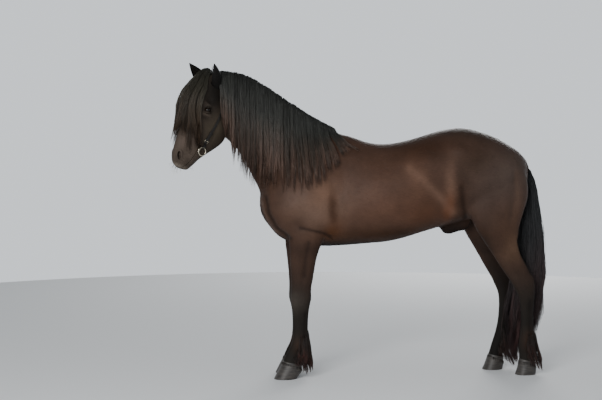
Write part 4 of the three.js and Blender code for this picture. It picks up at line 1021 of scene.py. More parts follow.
def strap_line(points, outs, count):
    """A smooth, evenly sampled line of frames from a few points and ways out in the head's own frame."""
    fine = curved(np.array([(*point, *out) for point, out in zip(points, outs)]), 12)
    far = far_along(fine[:, :3])
    even = np.linspace(0, far[-1], count)
    cols = [np.interp(even, far, fine[:, k]) for k in range(6)]
    places = [HEAD @ Vector(place) for place in zip(*cols[:3])]
    ways = [(HEAD.to_3x3() @ Vector(way).normalized()).normalized() for way in zip(*cols[3:])]
    return frames(places, ways)


def stitches(line, edge, lift, gap=0.0042, size=0.0006):
    """Saddle stitching along a strap: short threads lying end to end."""
    points = np.array([tuple(point + across * edge + out * lift) for point, way, across, out in line])
    outs = np.array([tuple(out) for point, way, across, out in line])
    far = far_along(points)
    bm = bmesh.new()
    for k in range(int(far[-1] / gap) - 1):
        ends = [np.array([np.interp((k + s) * gap, far, points[:, c]) for c in range(3)])
                for s in (0.6, 1.35)]
        out = Vector([np.interp((k + 1) * gap, far, outs[:, c]) for c in range(3)])
        way = Vector(ends[1] - ends[0])
        turn = way.to_track_quat("Z", "X").to_matrix().to_4x4()
        middle = Vector((ends[0] + ends[1]) / 2) + out * size * 0.2
        bmesh.ops.create_icosphere(bm, subdivisions=1, radius=1, matrix=Matrix.Translation(middle) @ turn
                                   @ Matrix.Diagonal((size, size, way.length / 2, 1)))
    return bm


def sew(name, line, reach):
    """A row of stitches along each edge of a strap."""
    for edge, place in ((-1, "front"), (1, "back")):
        finished(f"{name}_{place}", stitches(line, edge * reach, STRAP_THICKNESS / 2), THREAD)


def wire(bm, points, radius, closed=False, sides=8):
    """A round bar along points."""
    count = len(points)
    rings = []
    for i in range(count + 1 if closed else count):
        after = points[(i + 1) % count] if closed else points[min(i + 1, count - 1)]
        before = points[i - 1] if closed else points[max(i - 1, 0)]
        turn = (after - before).to_track_quat("Z", "Y").to_matrix()
        rings.append([points[i % count] + turn @ Vector((math.cos(a), math.sin(a), 0)) * radius
                      for a in angles(sides)])
    if closed:
        rings[-1] = rings[0]
    add_tube(bm, rings)


def buckle(bm, point, way, across, out, wide, high):
    """A roller buckle: a rounded frame that stands on the strap, its bar and its tongue."""
    loop = []
    for angle in angles(28):
        x, y = rounded_square(angle, 0.6)
        loop.append(point + across * x * wide / 2 + way * y * high / 2 + out * 0.0032)
    wire(bm, loop, 0.0013, closed=True)
    wire(bm, [point + across * x * wide / 2 + out * 0.0030 for x in (-1, 0, 1)], 0.0012)
    tongue = [point + way * y * high / 2 + out * z for y, z in ((0, 0.0042), (0.5, 0.0052), (1.05, 0.0048))]
    wire(bm, tongue, 0.0011)


def keeper(bm, point, way, across, out):
    """A thin leather loop round a strap."""
    rings = []
    for angle in angles(16):
        x, y = rounded_square(angle, 0.35)
        place = point + across * x * (STRAP_WIDTH / 2 + 0.0012) + out * (0.0016 + y * 0.0042)
        rings.append([place + way * w + (place - point).normalized() * d for w, d in
                      ((-0.0045, 0), (0.0045, 0), (0.0042, 0.0013), (-0.0042, 0.0013))])
    rings.append(rings[0])
    add_tube(bm, rings)


def cheek_strap(side):
    """A strap from the bit ring to the crown, doubled up to its buckle, with keepers and stitched edges."""
    name = SIDE_NAMES[side]
    top = ring_centre(side) + Vector((0, 0, RING_RADIUS - RING_TUBE))
    points = [top + Vector((0, side * 0.0052, 0.0)), top + Vector((0.0005, side * 0.0038, 0.012))]
    for drop, front in CHEEK_LINE:
        spot = touch(on_head(drop, front, side * 300), (0, -side, 0))
        points.append(spot + Vector((0, side * STRAP_LIFT, 0)))
    line = strap_line(points, [Vector((0, side, 0))] * len(points), 90)
    bm = bmesh.new()
    band(bm, line, STRAP_WIDTH, STRAP_THICKNESS)
    band(bm, line[2:30], STRAP_WIDTH * 0.94, STRAP_THICKNESS * 0.8, STRAP_THICKNESS * 0.85)
    for i in (16, 27, 80):
        keeper(bm, *line[i])
    point, way, across, out = line[0]
    turns = np.linspace(0.4, 2 * math.pi - 0.4, 18)
    loop = [point + (out * math.cos(a) + way * math.sin(a)) * 0.0062 - out * 0.0052 for a in turns]
    band(bm, frames(loop, [(place - point + out * 0.0052).normalized() for place in loop]),
         STRAP_WIDTH * 0.9, STRAP_THICKNESS * 0.7)
    bmesh.ops.remove_doubles(bm, verts=bm.verts, dist=1e-6)
    piece = finished(f"cheek_leather_{name}", bm, LEATHER)
    piece.data.set_sharp_from_angle(angle=math.radians(50))
    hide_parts(f"cheek_strap_{name}")
    sew(f"cheek_stitching_{name}", line[30:], STRAP_WIDTH / 2 - 0.0024)
    bm = bmesh.new()
    buckle(bm, *line[12], STRAP_WIDTH + 0.008, 0.017)
    bmesh.ops.remove_doubles(bm, verts=bm.verts, dist=1e-6)
    finished(f"cheek_buckle_{name}", bm, STEEL)


def crown_strap():
    """The strap over the poll, behind the ears, from cheek to cheek."""
    middle = on_head(60, -58, 0)
    points, outs = [], []
    for k in range(25):
        angle = math.radians(-112 + 224 * k / 24)
        out = Vector(((1 - math.cos(angle)) * 0.16, math.sin(angle), math.cos(angle))).normalized()
        points.append(touch(middle + out * 0.5, -out) + out * STRAP_LIFT)
        outs.append(out)
    line = strap_line(points, outs, 120)
    bm = bmesh.new()
    band(bm, line, STRAP_WIDTH + 0.004, STRAP_THICKNESS)
    piece = finished("crown_leather", bm, LEATHER)
    piece.data.set_sharp_from_angle(angle=math.radians(50))
    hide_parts("crown_strap")
    sew("crown_stitching", line, STRAP_WIDTH / 2 - 0.0004)


# Half of the mouthpiece: how far out from the middle as a share of its half length, and how thick
MOUTHPIECE = [(-1, 3.0), (-0.98, 6.5), (-0.93, 8.2), (-0.86, 8.0), (-0.80, 6.4), (-0.5, 6.0), (-0.1, 4.6)]


def snaffle():
    """The bit: a mouthpiece, thickest where it runs on its two loose rings."""
    quarter = Matrix.Rotation(math.pi / 2, 4, "X")
    for side in (-1, 1):
        bm = bmesh.new()
        bmesh.ops.create_circle(bm, segments=16, radius=RING_TUBE,
                                matrix=Matrix.Translation((RING_RADIUS - RING_TUBE, 0, 0)) @ quarter)
        bmesh.ops.spin(bm, geom=bm.verts[:] + bm.edges[:], angle=2 * math.pi, steps=72, use_merge=True,
                       axis=(0, 0, 1), cent=(0, 0, 0))
        bmesh.ops.remove_doubles(bm, verts=bm.verts, dist=1e-6)
        bmesh.ops.recalc_face_normals(bm, faces=bm.faces)
        bm.transform(HEAD @ Matrix.Translation(ring_centre(side)) @ quarter)
        ring = finished(f"snaffle_ring_{SIDE_NAMES[side]}", bm, STEEL)
        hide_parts(f"bit_ring_{SIDE_NAMES[side]}")
    bm = bmesh.new()
    rings = []
    profile = MOUTHPIECE + [(-along, thick) for along, thick in MOUTHPIECE[::-1]]
    for along, thick in curved(np.array(profile), 4):
        middle = on_head(BIT["drop"], BIT["front"], along * (BIT["reach"] + 6))
        rings.append([HEAD @ (middle + Vector((math.cos(a), 0, math.sin(a))) * thick * MM)
                      for a in angles(20)])
    add_tube(bm, rings)
    bar = finished("snaffle_mouthpiece", bm, STEEL)
    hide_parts("bit_mouthpiece")


snaffle()
crown_strap()
for side in (-1, 1):
    cheek_strap(side)

# Long hair: strands that follow fields of smooth paths, gathered into locks

HAIR_STEPS = 8
FLOOR_GAP = 0.003

# Each kind of long hair: strands and locks in a piece, half a strand's width, how far strands gather
# into locks (0 to 1), the shortest lock (0 to 1), the sway of locks and the frizz of strands in metres,
# waves along a lock, how much finer it parts across than through its depth, and its colours at the
# root, the middle and the tip, with those of the lightest tips
# The grey middle colour of the mane is painted sheen on the hair's mid lengths
MANE_HAIR = {"strands": 3200, "locks": 100, "half_width": 0.00092, "gather": 0.6, "shortest": 0.74,
             "sway": 0.006, "frizz": 0.002, "waves": 2.2, "parting": 6.0,
             "colours": ("#222424", "#33332f", "#54453c", "#6c5043")}
# The grey middle colour of the forelock is painted sheen on the hair's mid lengths
FORELOCK_HAIR = {"strands": 3500, "locks": 60, "half_width": 0.0008, "gather": 0.6, "shortest": 0.76,
                 "sway": 0.006, "frizz": 0.0025, "waves": 2.2, "parting": 4.0,
                 "colours": ("#1f201d", "#343129", "#43372e", "#543f31")}
TAIL_HAIR = {"strands": 3100, "locks": 56, "half_width": 0.0011, "gather": 0.55, "shortest": 0.8,
             "sway": 0.013, "frizz": 0.0045, "waves": 2.6, "parting": 2.5,
             "colours": ("#222425", "#29292a", "#3c2f2e", "#573d3b")}
STRAY_HAIR = {"strands": 180, "locks": 90, "gather": 0.1, "shortest": 0.55, "sway": 0.028, "frizz": 0.008,
              "waves": 1.8, "parting": 6.0}
FEATHER_HAIR = {"strands": 720, "locks": 24, "half_width": 0.0009, "gather": 0.6, "shortest": 0.78,
                "sway": 0.004, "frizz": 0.002, "waves": 2.2, "parting": 2.0,
                "colours": ("#1a1613", "#261c17", "#3b2621", "#4e2f2a")}
FRINGE_HAIR = {"strands": 270, "half_width": 0.0014, "colours": ("#1c1815", "#231d19", "#2d2520", "#3a2f27")}


def grow(name, paths, thick, colours, places, material, slot, outs=None, flat=1.0):
    """Joined tapered strands, from their points, half widths, colours and places on the unwrap.
    Flat tufts also give the way out of the skin and how thick they are for their width."""
    sides = 3
    strands, points = paths.shape[:2]
    paths = np.maximum(paths, (-9, -9, FLOOR_GAP))
    way = unit(np.gradient(paths, axis=1))
    across = unit(np.cross(way, rng.normal(size=(strands, 1, 3)) if outs is None else outs[:, None]))
    out = np.cross(way, across)
    angle = np.arange(sides) / sides * 2 * math.pi - math.pi / 2
    ring = (across[:, :-1, None] * np.cos(angle)[:, None]
            + out[:, :-1, None] * np.sin(angle)[:, None] * flat)
    verts = np.concatenate([(paths[:, :-1, None] + ring * thick[:, :-1, None, None]).reshape(strands, -1, 3),
                            paths[:, -1:]], axis=1)
    each = verts.shape[1]
    k = np.arange(sides)
    after = (k + 1) % sides
    quads = np.concatenate([np.stack([i + k, i + sides + k, i + sides + after, i + after], 1)
                            for i in range(0, (points - 2) * sides, sides)])
    last = (points - 2) * sides
    tips = np.stack([last + k, np.full(sides, each - 1), last + after], 1)
    loops = np.concatenate([quads.ravel(), tips.ravel(), k])
    sizes = np.array([4] * len(quads) + [3] * sides + [sides])
    all_loops = (loops[None] + np.arange(strands)[:, None] * each).ravel()
    all_sizes = np.tile(sizes, strands)
    mesh = bpy.data.meshes.new(name)
    mesh.vertices.add(strands * each)
    mesh.vertices.foreach_set("co", verts.ravel().astype(np.float32))
    mesh.loops.add(len(all_loops))
    mesh.loops.foreach_set("vertex_index", all_loops.astype(np.int32))
    mesh.polygons.add(len(all_sizes))
    starts = np.concatenate([[0], np.cumsum(all_sizes)[:-1]])
    mesh.polygons.foreach_set("loop_start", starts.astype(np.int32))
    mesh.update(calc_edges=True)
    mesh.validate()
    shade = np.concatenate([np.repeat(colours[:, :-1], sides, axis=1), colours[:, -1:]], axis=1)
    paint(mesh, "Coat", shade.reshape(-1, 4))
    round_it, along_it = np.tile(k / sides, points - 1), np.repeat(np.arange(points - 1) / points, sides)
    local = np.concatenate([np.stack([round_it, along_it], 1), [[0.5, 1.0]]])
    spot = places[:, None] * 0.99 + local[None] * 0.003
    layer = mesh.uv_layers.new(name="OFBake")
    layer.data.foreach_set("uv", spot.reshape(-1, 2)[all_loops].ravel().astype(np.float32))
    if material is COAT:
        comb(mesh)
    dressed(name, mesh, material, smooth=outs is None)


def fine_paths(table):
    """Paths through a few points each, made smooth: the table is across, layers, points, 3."""
    return np.moveaxis(curved(np.moveaxis(table, 2, 0), 6), 0, 2)


def sampled(field, across, layer, run):
    """Points of a field of paths at places across it, through its depth and along it, each from 0 to 1."""
    sizes = np.array(field.shape[:3]) - 1
    parts = []
    for value, size in zip((across, layer, run), sizes):
        scaled = np.clip(value, 0, 1) * size
        low = np.minimum(scaled.astype(int), size - 1)
        parts.append((low, scaled - low))
    (qa, fa), (qb, fb), (qc, fc) = parts
    total = 0
    for da in (0, 1):
        for db in (0, 1):
            for dc in (0, 1):
                weight = (fa if da else 1 - fa) * (fb if db else 1 - fb) * (fc if dc else 1 - fc)
                total = total + weight[..., None] * field[qa + da, qb + db, qc + dc]
    return total


def locks(field, hair):
    """Strands over a field of paths, drawn together into locks towards their ends: their points, how far
    along each point is, their places on the field, and the tone of each one's lock."""
    strands, lock_count = hair["strands"], hair["locks"]
    middles = rng.random((lock_count, 2))
    roots = rng.random((strands, 2))
    spread = np.array([hair["parting"], 1.0])
    near = ((roots[:, None] * spread - middles[None] * spread) ** 2).sum(2).argmin(1)
    length = hair["shortest"] + (1 - hair["shortest"]) * rng.random(lock_count)[near] ** 0.6
    length = np.clip(length * (1 - 0.16 * rng.random(strands) ** 2), 0, 1)
    run = np.linspace(0, 1, HAIR_STEPS + 1)[None] * length[:, None]
    own = sampled(field, roots[:, :1] + 0 * run, roots[:, 1:] + 0 * run, run)
    led = sampled(field, middles[near][:, :1] + 0 * run, middles[near][:, 1:] + 0 * run, run)
    gather = (hair["gather"] * (0.6 + 0.4 * rng.random(lock_count)[near]))[:, None]
    pull = gather * np.clip(run * 1.5, 0, 1) ** 1.3
    paths = own + (led - own) * pull[..., None]
    waved = ((hair["sway"], rng.integers(0, 1 << 30, lock_count)[near], hair["waves"]),
             (hair["frizz"], np.arange(strands), hair["waves"] * 2.1))
    for size, who, waves in waved:
        unique, index = np.unique(who, return_inverse=True)
        phase = rng.random((len(unique), 3))[index] * 2 * math.pi
        pace = waves * (0.7 + 0.6 * rng.random((len(unique), 3)))[index]
        wave = np.sin(run[..., None] * pace[:, None] * 2 * math.pi + phase[:, None]) - np.sin(phase)[:, None]
        paths = paths + size * wave * (run[..., None] ** 1.2)
    return paths, run, roots, rng.random(lock_count)[near]


def strand_colours(run, tone, root, middle, tip, warm):
    """Black at the root, browner towards the tip, each lock a little lighter or darker than the next."""
    run = run[..., None]
    first, second = np.clip(run / 0.55, 0, 1), np.clip((run - 0.5) / 0.5, 0, 1)
    colour = linear(root) * (1 - first) + linear(middle) * first
    red = linear(tip) * (1 - tone[:, None, None]) + linear(warm) * tone[:, None, None]
    colour = colour * (1 - second) + red * second
    bright = 0.5 + 0.95 * rng.random((len(tone), 1, 1)) ** 1.6 + 0.35 * tone[:, None, None]
    colour = colour * bright
    colour[..., 3] = 1
    return colour


def tapered(run, half_width):
    """Half widths along strands: a little thinner at the root, full, then thin at the tip."""
    t = np.linspace(0, 1, run.shape[1])[None]
    size = half_width * (0.75 + 0.5 * rng.random((len(run), 1)))
    return size * np.minimum(1, 0.45 + 3 * t) * (1 - 0.6 * t ** 2)


def strand_looks(strands, hair):
    """Points, half widths, colours and places on the unwrap, for strands of one kind of hair."""
    paths, run, roots, tone = strands
    return paths, tapered(run, hair["half_width"]), strand_colours(run, tone, *hair["colours"]), roots


def outward(side, x, z):
    """How far the skin reaches to one side at a place of the profile, or nothing past its edge."""
    hit = skin_tree.ray_cast(Vector((x, side * 0.9, z)), Vector((0, -side, 0)))[0]
    return side * hit.y if hit else None


def crest_line():
    """Along the crest of the neck: x, how far to one side, height, in metres."""
    rows = refine(NECK, 3)
    tops = np.array([section(row, 4)[1] for row in rows])
    return tops[np.argsort(tops[:, 0])]


CREST = crest_line()
# Along the crest from the poll to the withers: root x, then where the left side's hair ends (x and z)
# and where the right side's does
MANE_ENDS = np.array([
    (-512, -462, 1425, -478, 1430), (-480, -450, 1385, -455, 1420), (-440, -432, 1325, -428, 1360),
    (-400, -402, 1250, -398, 1290), (-350, -356, 1180, -372, 1220), (-310, -318, 1130, -350, 1150),
    (-250, -262, 1076, -306, 1090), (-190, -198, 1055, -258, 1070), (-110, -115, 1062, -160, 1072),
    (-30, -15, 1066, -20, 1076), (50, 75, 1092, 75, 1100), (110, 160, 1180, 160, 1185),
    (155, 240, 1262, 240, 1265), (195, 335, 1322, 335, 1325)])


MANE_ROWS = 48


def mane_field(side):
    """Paths over one side of the neck: up over the crest, then down the side, no deeper than the skin."""
    rows, layers = MANE_ROWS, 4
    stops = [0, 0.035, 0.08, 0.15, 0.28, 0.45, 0.64, 0.82, 1]
    field = np.zeros((rows, layers, len(stops), 3))
    columns = (1, 2) if side < 0 else (3, 4)
    for i in range(rows):
        root_x = MANE_ENDS[0, 0] + (MANE_ENDS[-1, 0] - MANE_ENDS[0, 0]) * i / (rows - 1)
        end_x, end_z = [np.interp(root_x, MANE_ENDS[:, 0], MANE_ENDS[:, k]) for k in columns]
        middle, crest = [np.interp(root_x * MM, CREST[:, 0], CREST[:, k]) for k in (1, 2)]
        bend = np.interp(root_x, (-500, -430), (0.35, 1.3))
        for j in range(layers):
            depth = j / (layers - 1)
            over_crest = [(14 - 17 * depth, -18 + 8 * depth), (22 - 12 * depth, 1 + 17 * depth),
                          (36 - 4 * depth, -6 + 21 * depth)]
            for k, t in enumerate(stops):
                if k < len(over_crest):
                    aside, above = over_crest[k]
                    place = (ahead(root_x), middle + side * aside * MM, crest + above * MM)
                    y = place[1] * side
                else:
                    x = root_x + (end_x - root_x) * t ** bend
                    z = crest / MM + (end_z - crest / MM) * t + (1 - t) * 8 * depth
                    hit = outward(side, ahead(x), z * MM)
                    y = max(hit, y - 0.026) if hit is not None else y - 0.004
                    place = (ahead(x), side * (y + (5 + 22 * depth) * MM), z * MM)
                field[i, j, k] = place
    return fine_paths(field)


def mane():
    """The mane on both sides of the neck, in two pieces on the left, where it is longest."""
    for side, name, pieces in ((-1, "mane_left", 2), (1, "mane_right", 1)):
        field = mane_field(side)
        for part in range(pieces):
            first = int(part / pieces * (MANE_ROWS - 1))
            last = int(math.ceil((part + 1) / pieces * (MANE_ROWS - 1)))
            strands = locks(field[first:last + 1], MANE_HAIR)
            full_name = f"{name}_{part + 1}" if pieces > 1 else name
            grow(full_name, *strand_looks(strands, MANE_HAIR), HAIR, "coat")


FORELOCK_SPREAD = 66  # degrees to each side of the brow

def forelock():
    """Hair that rises between the ears, parts over the brow and hangs down in front of both eyes."""
    rows, layers = 25, 4
    stops = [0, 0.05, 0.11, 0.18, 0.27, 0.4, 0.55, 0.72, 0.87, 1]
    field = np.zeros((rows, layers, len(stops), 3))
    for i in range(rows):
        u = -1 + 2 * i / (rows - 1)
        # Over the poll, for the lowest and the highest layer: how far forward, how far down and how far
        # aside
        fronts = [(34, -10 + 26 * u * u), (46, 8 + 20 * u * u), (56 - 10 * u * u, 46 - 12 * u * u),
                  (66 - 34 * u * u, 84 - 46 * u * u)]
        drops = [(20, -6), (14, -36 + 26 * u * u), (32, -34 + 40 * u * u), (60, 4 + 40 * u * u)]
        asides = (38, 41, 48, 62)
        for j in range(layers):
            depth = j / (layers - 1)
            for k, t in enumerate(stops):
                if k < len(drops):
                    front, drop = fronts[k], drops[k]
                    place = on_head(drop[0] + (drop[1] - drop[0]) * depth,
                                    front[0] + (front[1] - front[0]) * depth, u * asides[k])
                else:
                    start = 60 - (56 - 40 * u * u) * depth
                    drop = start + (486 - 46 * abs(u + 0.3) - start) * (t - 0.18) / 0.82
                    axis = 2 - 0.33 * max(0, drop - 120)
                    clear = 12 * max(0, -u) * math.exp(-((drop - 200) / 70) ** 2)
                    angle = math.radians(FORELOCK_SPREAD * u + clear)
                    out = Vector((-math.cos(angle), math.sin(angle), 0))
                    centre = on_head(drop, axis, 0)
                    hit = touch(centre + out * 0.4, -out) or centre + out * 0.06
                    arch = math.sin(math.pi * min(1, t * 0.66)) * (1 - 0.62 * abs(u) ** 1.5)
                    lift = 4 + 17 * depth * min(1, 3 * t) + 30 * depth ** 0.5 * arch
                    place = hit + out * lift * MM
                field[i, j, k] = HEAD @ place
    strands = locks(fine_paths(field), FORELOCK_HAIR)
    grow("forelock", *strand_looks(strands, FORELOCK_HAIR), HAIR, "coat")


# The tail's hanging hair, down from the dock: height, front, rear and half width
TAIL = np.array([
    (-1240, 1300, 1354, 30), (-1120, 1318, 1400, 46), (-950, 1290, 1422, 60), (-820, 1262, 1450, 66),
    (-700, 1262, 1460, 68), (-560, 1250, 1456, 64), (-400, 1228, 1446, 58), (-240, 1215, 1424, 50),
    (-100, 1215, 1380, 42), (-30, 1220, 1330, 34)])
# The dock in the same way: height, middle, half length and half width
DOCK_LINE = np.array(sorted(
    (-(lead_z + trail_z) / 2, (lead_x + trail_x) / 2, (lead_x - trail_x) / 2, (wide + trail) / 2)
    for lead_x, lead_z, trail_x, trail_z, wide, trail, square in DOCK))


def tail():
    """Hair that springs from round the dock and hangs in one body. Its two pieces fill the same room."""
    rows, layers = 33, 5
    stops = [0, 0.05, 0.12, 0.22, 0.35, 0.5, 0.66, 0.83, 1]
    field = np.zeros((rows, layers, len(stops), 3))
    for i in range(rows):
        turn = 2 * math.pi * i / (rows - 1)
        rear, aside = math.cos(turn), math.sin(turn)
        for j in range(layers):
            depth = j / (layers - 1)
            high = 1250 - 430 * depth - 100 * (1 - rear) / 2 * (1 - depth)
            reach = 0.97 - 0.62 * depth
            low = 25 + 170 * max(0, rear) ** 1.4
            for k, t in enumerate(stops):
                z = high + (low - high) * t
                front, back, half_wide = [np.interp(-z, TAIL[:, 0], TAIL[:, c]) for c in (1, 2, 3)]
                middle, dock_long, dock_wide = [np.interp(-z, DOCK_LINE[:, 0], DOCK_LINE[:, c])
                                                for c in (1, 2, 3)]
                if k == 0:
                    x, y = middle + rear * dock_long * 0.7, aside * dock_wide * 0.7
                elif k == 1:
                    x, y = middle + rear * (dock_long + 7), aside * (dock_wide + 7)
                else:
                    x, y = (front + back) / 2 + rear * (back - front) / 2 * reach, aside * half_wide * reach
                x, y, z = ahead(x), y * MM, z * MM
                if k > 0 and z > 0.70:
                    hit = skin_tree.ray_cast(Vector((2.5, y, z)), Vector((-1, 0, 0)))[0]
                    if hit and hit.z > 0.5:
                        x = max(x, hit.x + 0.006)
                field[i, j, k] = (x, y, z)
    field = fine_paths(field)
    for part in (1, 2):
        strands = locks(field, TAIL_HAIR)
        if part == 2:
            strands = [np.concatenate(pair) for pair in zip(strands, locks(field, STRAY_HAIR))]
        grow(f"tail_hair_{part}", *strand_looks(strands, TAIL_HAIR), HAIR, "long_hair")
    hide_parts("tail")


def fringe(side, hind):
    """Short hair that hangs from the edge of the skin over one hoof, in the form that locks gives."""
    sides = 60
    edge = body_rings(hoof_rows(side, hind), sides, 1, 0)[1]
    middle = edge.mean(axis=0)
    count = FRINGE_HAIR["strands"]
    spot = rng.random(count) * sides
    low, share = spot.astype(int), (spot % 1)[:, None]
    root = edge[low] * (1 - share) + edge[(low + 1) % sides] * share
    out = unit((root - middle) * (1, 1, 0))
    size = (0.012 + 0.010 * rng.random((count, 1, 1)))
    t = np.linspace(0, 1, HAIR_STEPS + 1)[None, :, None]
    sway = rng.normal(0, 0.10, (count, 1, 3)) * size
    paths = (root[:, None] + (0, 0, 0.007) + out[:, None] * (-0.003 + 0.0055 * t ** 0.7)
             + np.array((0, 0, -1.25)) * size * t + sway * t ** 2)
    places = np.stack([spot / sides, rng.random(count)], 1)
    return paths, np.repeat(t[..., 0], count, axis=0), places, rng.random(count)


def feather_field(rows_of_leg, reach):
    """Paths round the back of one fetlock, longest to the rear."""
    leg = np.array(sorted((-az, (ax + bx) / 2, (bx - ax) / 2, (wide + trail) / 2, aside)
                          for ax, az, bx, bz, wide, trail, square, aside in rows_of_leg))
    rows, layers, points = 17, 3, 5
    field = np.zeros((rows, layers, points, 3))
    for i in range(rows):
        angle = -1.75 + 3.5 * i / (rows - 1)
        rear, across = math.cos(angle), math.sin(angle)
        rearward = max(0, rear)
        stand = 6 + (reach - 6) * rearward
        for j in range(layers):
            depth = j / (layers - 1)
            high = 120 + 130 * depth
            x, half_long, half_wide, aside = [np.interp(-high, leg[:, 0], leg[:, c]) for c in (1, 2, 3, 4)]
            drop = 50 + 34 * depth + (52 + 86 * depth) * rearward
            stops = ((-5, -3), (3 + 3 * depth, 8), (6 + 5 * rearward + stand * 0.25, drop * 0.4),
                     (8 + stand * 0.7, drop * 0.75), (stand + 3 * depth, drop))
            for k, (grow_out, down) in enumerate(stops):
                field[i, j, k] = (ahead(x + rear * (half_long + grow_out)),
                                  (aside + across * (half_wide + grow_out)) * MM, (high - down) * MM)
    return fine_paths(field)


def feather():
    """Hair behind each fetlock and a fringe over each hoof. Each leg has its own quarter of the unwrap."""
    parts = []
    for table, swing, reach in ((FORELEG, FORE_SWING, 24), (HINDLEG, HIND_SWING, 52)):
        for side in (-1, 1):
            corner = np.array((side > 0, table is HINDLEG)) * 0.5
            field = feather_field(swung(table, side, swing), reach)
            *looks, roots = strand_looks(locks(field, FEATHER_HAIR), FEATHER_HAIR)
            parts.append((*looks, roots * 0.44 + corner))
            *looks, roots = strand_looks(fringe(side, table is HINDLEG), FRINGE_HAIR)
            parts.append((*looks, roots * 0.03 + corner + 0.46))
    grow("feather", *[np.concatenate(values) for values in zip(*parts)], HAIR, "coat")


# Short coat: thin flat tufts that lie along the skin, and longer ones where the real coat breaks the form

TUFTS = 6800  # on each of three pieces

# Where the coat is longer: x, aside, z, reach of each, extra length, extra lift (millimetres)
LONGER_COAT = [
    (300, 0, 765, 480, 70, 26, 10, 2.5), (110, 150, 800, 40, 60, 60, 12, 4),
    (52, 120, 620, 26, 50, 150, 8, 4), (920, 0, 850, 110, 70, 50, 10, 3),
    (1350, 108, 560, 40, 50, 60, 8, 3), (-225, 0, 1000, 50, 60, 140, 8, 3),
    (1290, 40, 1050, 40, 70, 150, 8, 3), (-400, -90, 1400, 60, 60, 60, 14, 4),
    (1150, 130, 820, 50, 70, 60, 6, 2),
]


def skin_samples(count, weigh):
    """Points spread over the skin and the ways out of it, closer together where the weight is greater."""
    skin_mesh.calc_loop_triangles()
    tris = np.empty(len(skin_mesh.loop_triangles) * 3, np.int32)
    skin_mesh.loop_triangles.foreach_get("vertices", tris)
    tris = tris.reshape(-1, 3)
    at, out = corners(skin_mesh), corners(skin_mesh, "normal")
    a, b, c = (at[tris[:, k]] for k in range(3))
    chance = np.linalg.norm(np.cross(b - a, c - a), axis=1) * weigh((a + b + c) / 3)
    first, second, third = tris[rng.choice(len(tris), count, p=chance / chance.sum())].T
    u, v = rng.random((2, count, 1))
    u, v = np.where(u + v > 1, 1 - u, u), np.where(u + v > 1, 1 - v, v)
    spots, ways = [values[first] * (1 - u - v) + values[second] * u + values[third] * v
                   for values in (at, out)]
    return spots, unit(ways)


def coat_lie(at, out):
    """The way the coat lies: back and down over the body, down the neck, the legs and the face."""
    local = in_body(at)
    neck, leg = fade(local[:, :1], 0, 0.07), fade(local[:, 2:], 0.82, 0.05)
    share = in_head(at)[1][:, None]
    way = np.array((1.0, 0, -0.3)) * (1 - neck) + np.array((0.5, 0, -1.0)) * neck
    way = way * (1 - leg) + np.array((0.1, 0, -1.0)) * leg
    way = way * (1 - share) + np.array(HEAD.to_3x3() @ Vector((0.15, 0, -1))) * share
    swirl = 0.16 * np.sin(local @ np.array([[9, 14, 5], [7, 11, 13], [12, 6, 9]]).T)
    way = way + swirl + rng.normal(0, 0.06, at.shape)
    return unit(way - out * (way * out).sum(1, keepdims=True))


def skin_places(at):
    """Places on an unwrap of the skin, with tiles for the trunk and neck, for the head and for each leg."""
    x, y, z = in_body(at).T
    face, share = in_head(at)
    trunk = np.stack([(x + 0.6) / 2.0, (np.arctan2(y, z - 1.12) / math.tau + 0.5) * 0.48], 1)
    head = np.stack([(np.arctan2(face[:, 1], -face[:, 0] - 0.07) / math.tau + 0.5) * 0.6,
                     0.5 + np.clip(-face[:, 2] / 0.6, 0, 1) * 0.22], 1)
    hind = x > 0.55
    axis = np.where(hind, np.interp(z, (0.5, 0.8), (1.32, 1.16)) - (y > 0) * 0.125 * (1.15 - z) / 1.15, 0)
    turn = np.arctan2(np.abs(y) - 0.115, x - axis) / math.tau + 0.5
    leg = np.stack([(turn + hind * 2 + (y > 0)) / 4, 0.74 + np.clip(z / 0.8, 0, 1) * 0.25], 1)
    place = np.where((z < 0.78)[:, None], leg, trunk)
    return np.clip(np.where((share > 0.5)[:, None], head, place), 0, 0.995)


def tufted(at):
    """1 where tufts may grow, and 0 where none do: inside the nostrils and round the eyeballs."""
    face = in_head(at)[0]
    clear = np.ones(len(at))
    for side in (-1, 1):
        nostril = on_head(*NOSTRIL, side * NOSTRIL_ASIDE)
        eyeball = on_head(*EYE_PLACE, side * (EYE_ASIDE + 2))
        for place, reach in ((nostril, 0.017), (eyeball, 0.023)):
            clear *= np.linalg.norm(face - np.array(place), axis=1) > reach
    return clear


def on_skin(paths, heights):
    """Paths laid down on the skin and raised off it by their heights."""
    laid = np.empty_like(paths)
    for i, k in np.ndindex(*heights.shape):
        spot, way, *_ = skin_tree.find_nearest(Vector(paths[i, k]))
        laid[i, k] = spot + way * heights[i, k]
    return laid


def longer_coat(at):
    """How surely the coat is longer at points, by how much, and how much further it stands out."""
    local = in_body(at)
    more = np.zeros((3, len(at)))
    for x, aside, z, *reach, length, lift in LONGER_COAT:
        for side in sides_of(aside):
            near = swell(local, np.array((x, side * aside, z)) * MM, np.array(reach) * MM)
            more += near * np.array(((1,), (length,), (lift,)))
    return more


def trunk_share(at):
    """1 over the trunk and the neck, and 0 on the legs and the head."""
    return (at[:, 2] > 0.74) * (1 - in_head(at)[1])


def on_left(at):
    return trunk_share(at) * (at[:, 1] < 0)


def on_right(at):
    return trunk_share(at) * (at[:, 1] >= 0)


def on_rest(at):
    return np.where(in_head(at)[1] > 0.5, 3.2 * tufted(at), 1.0 * (at[:, 2] <= 0.76))


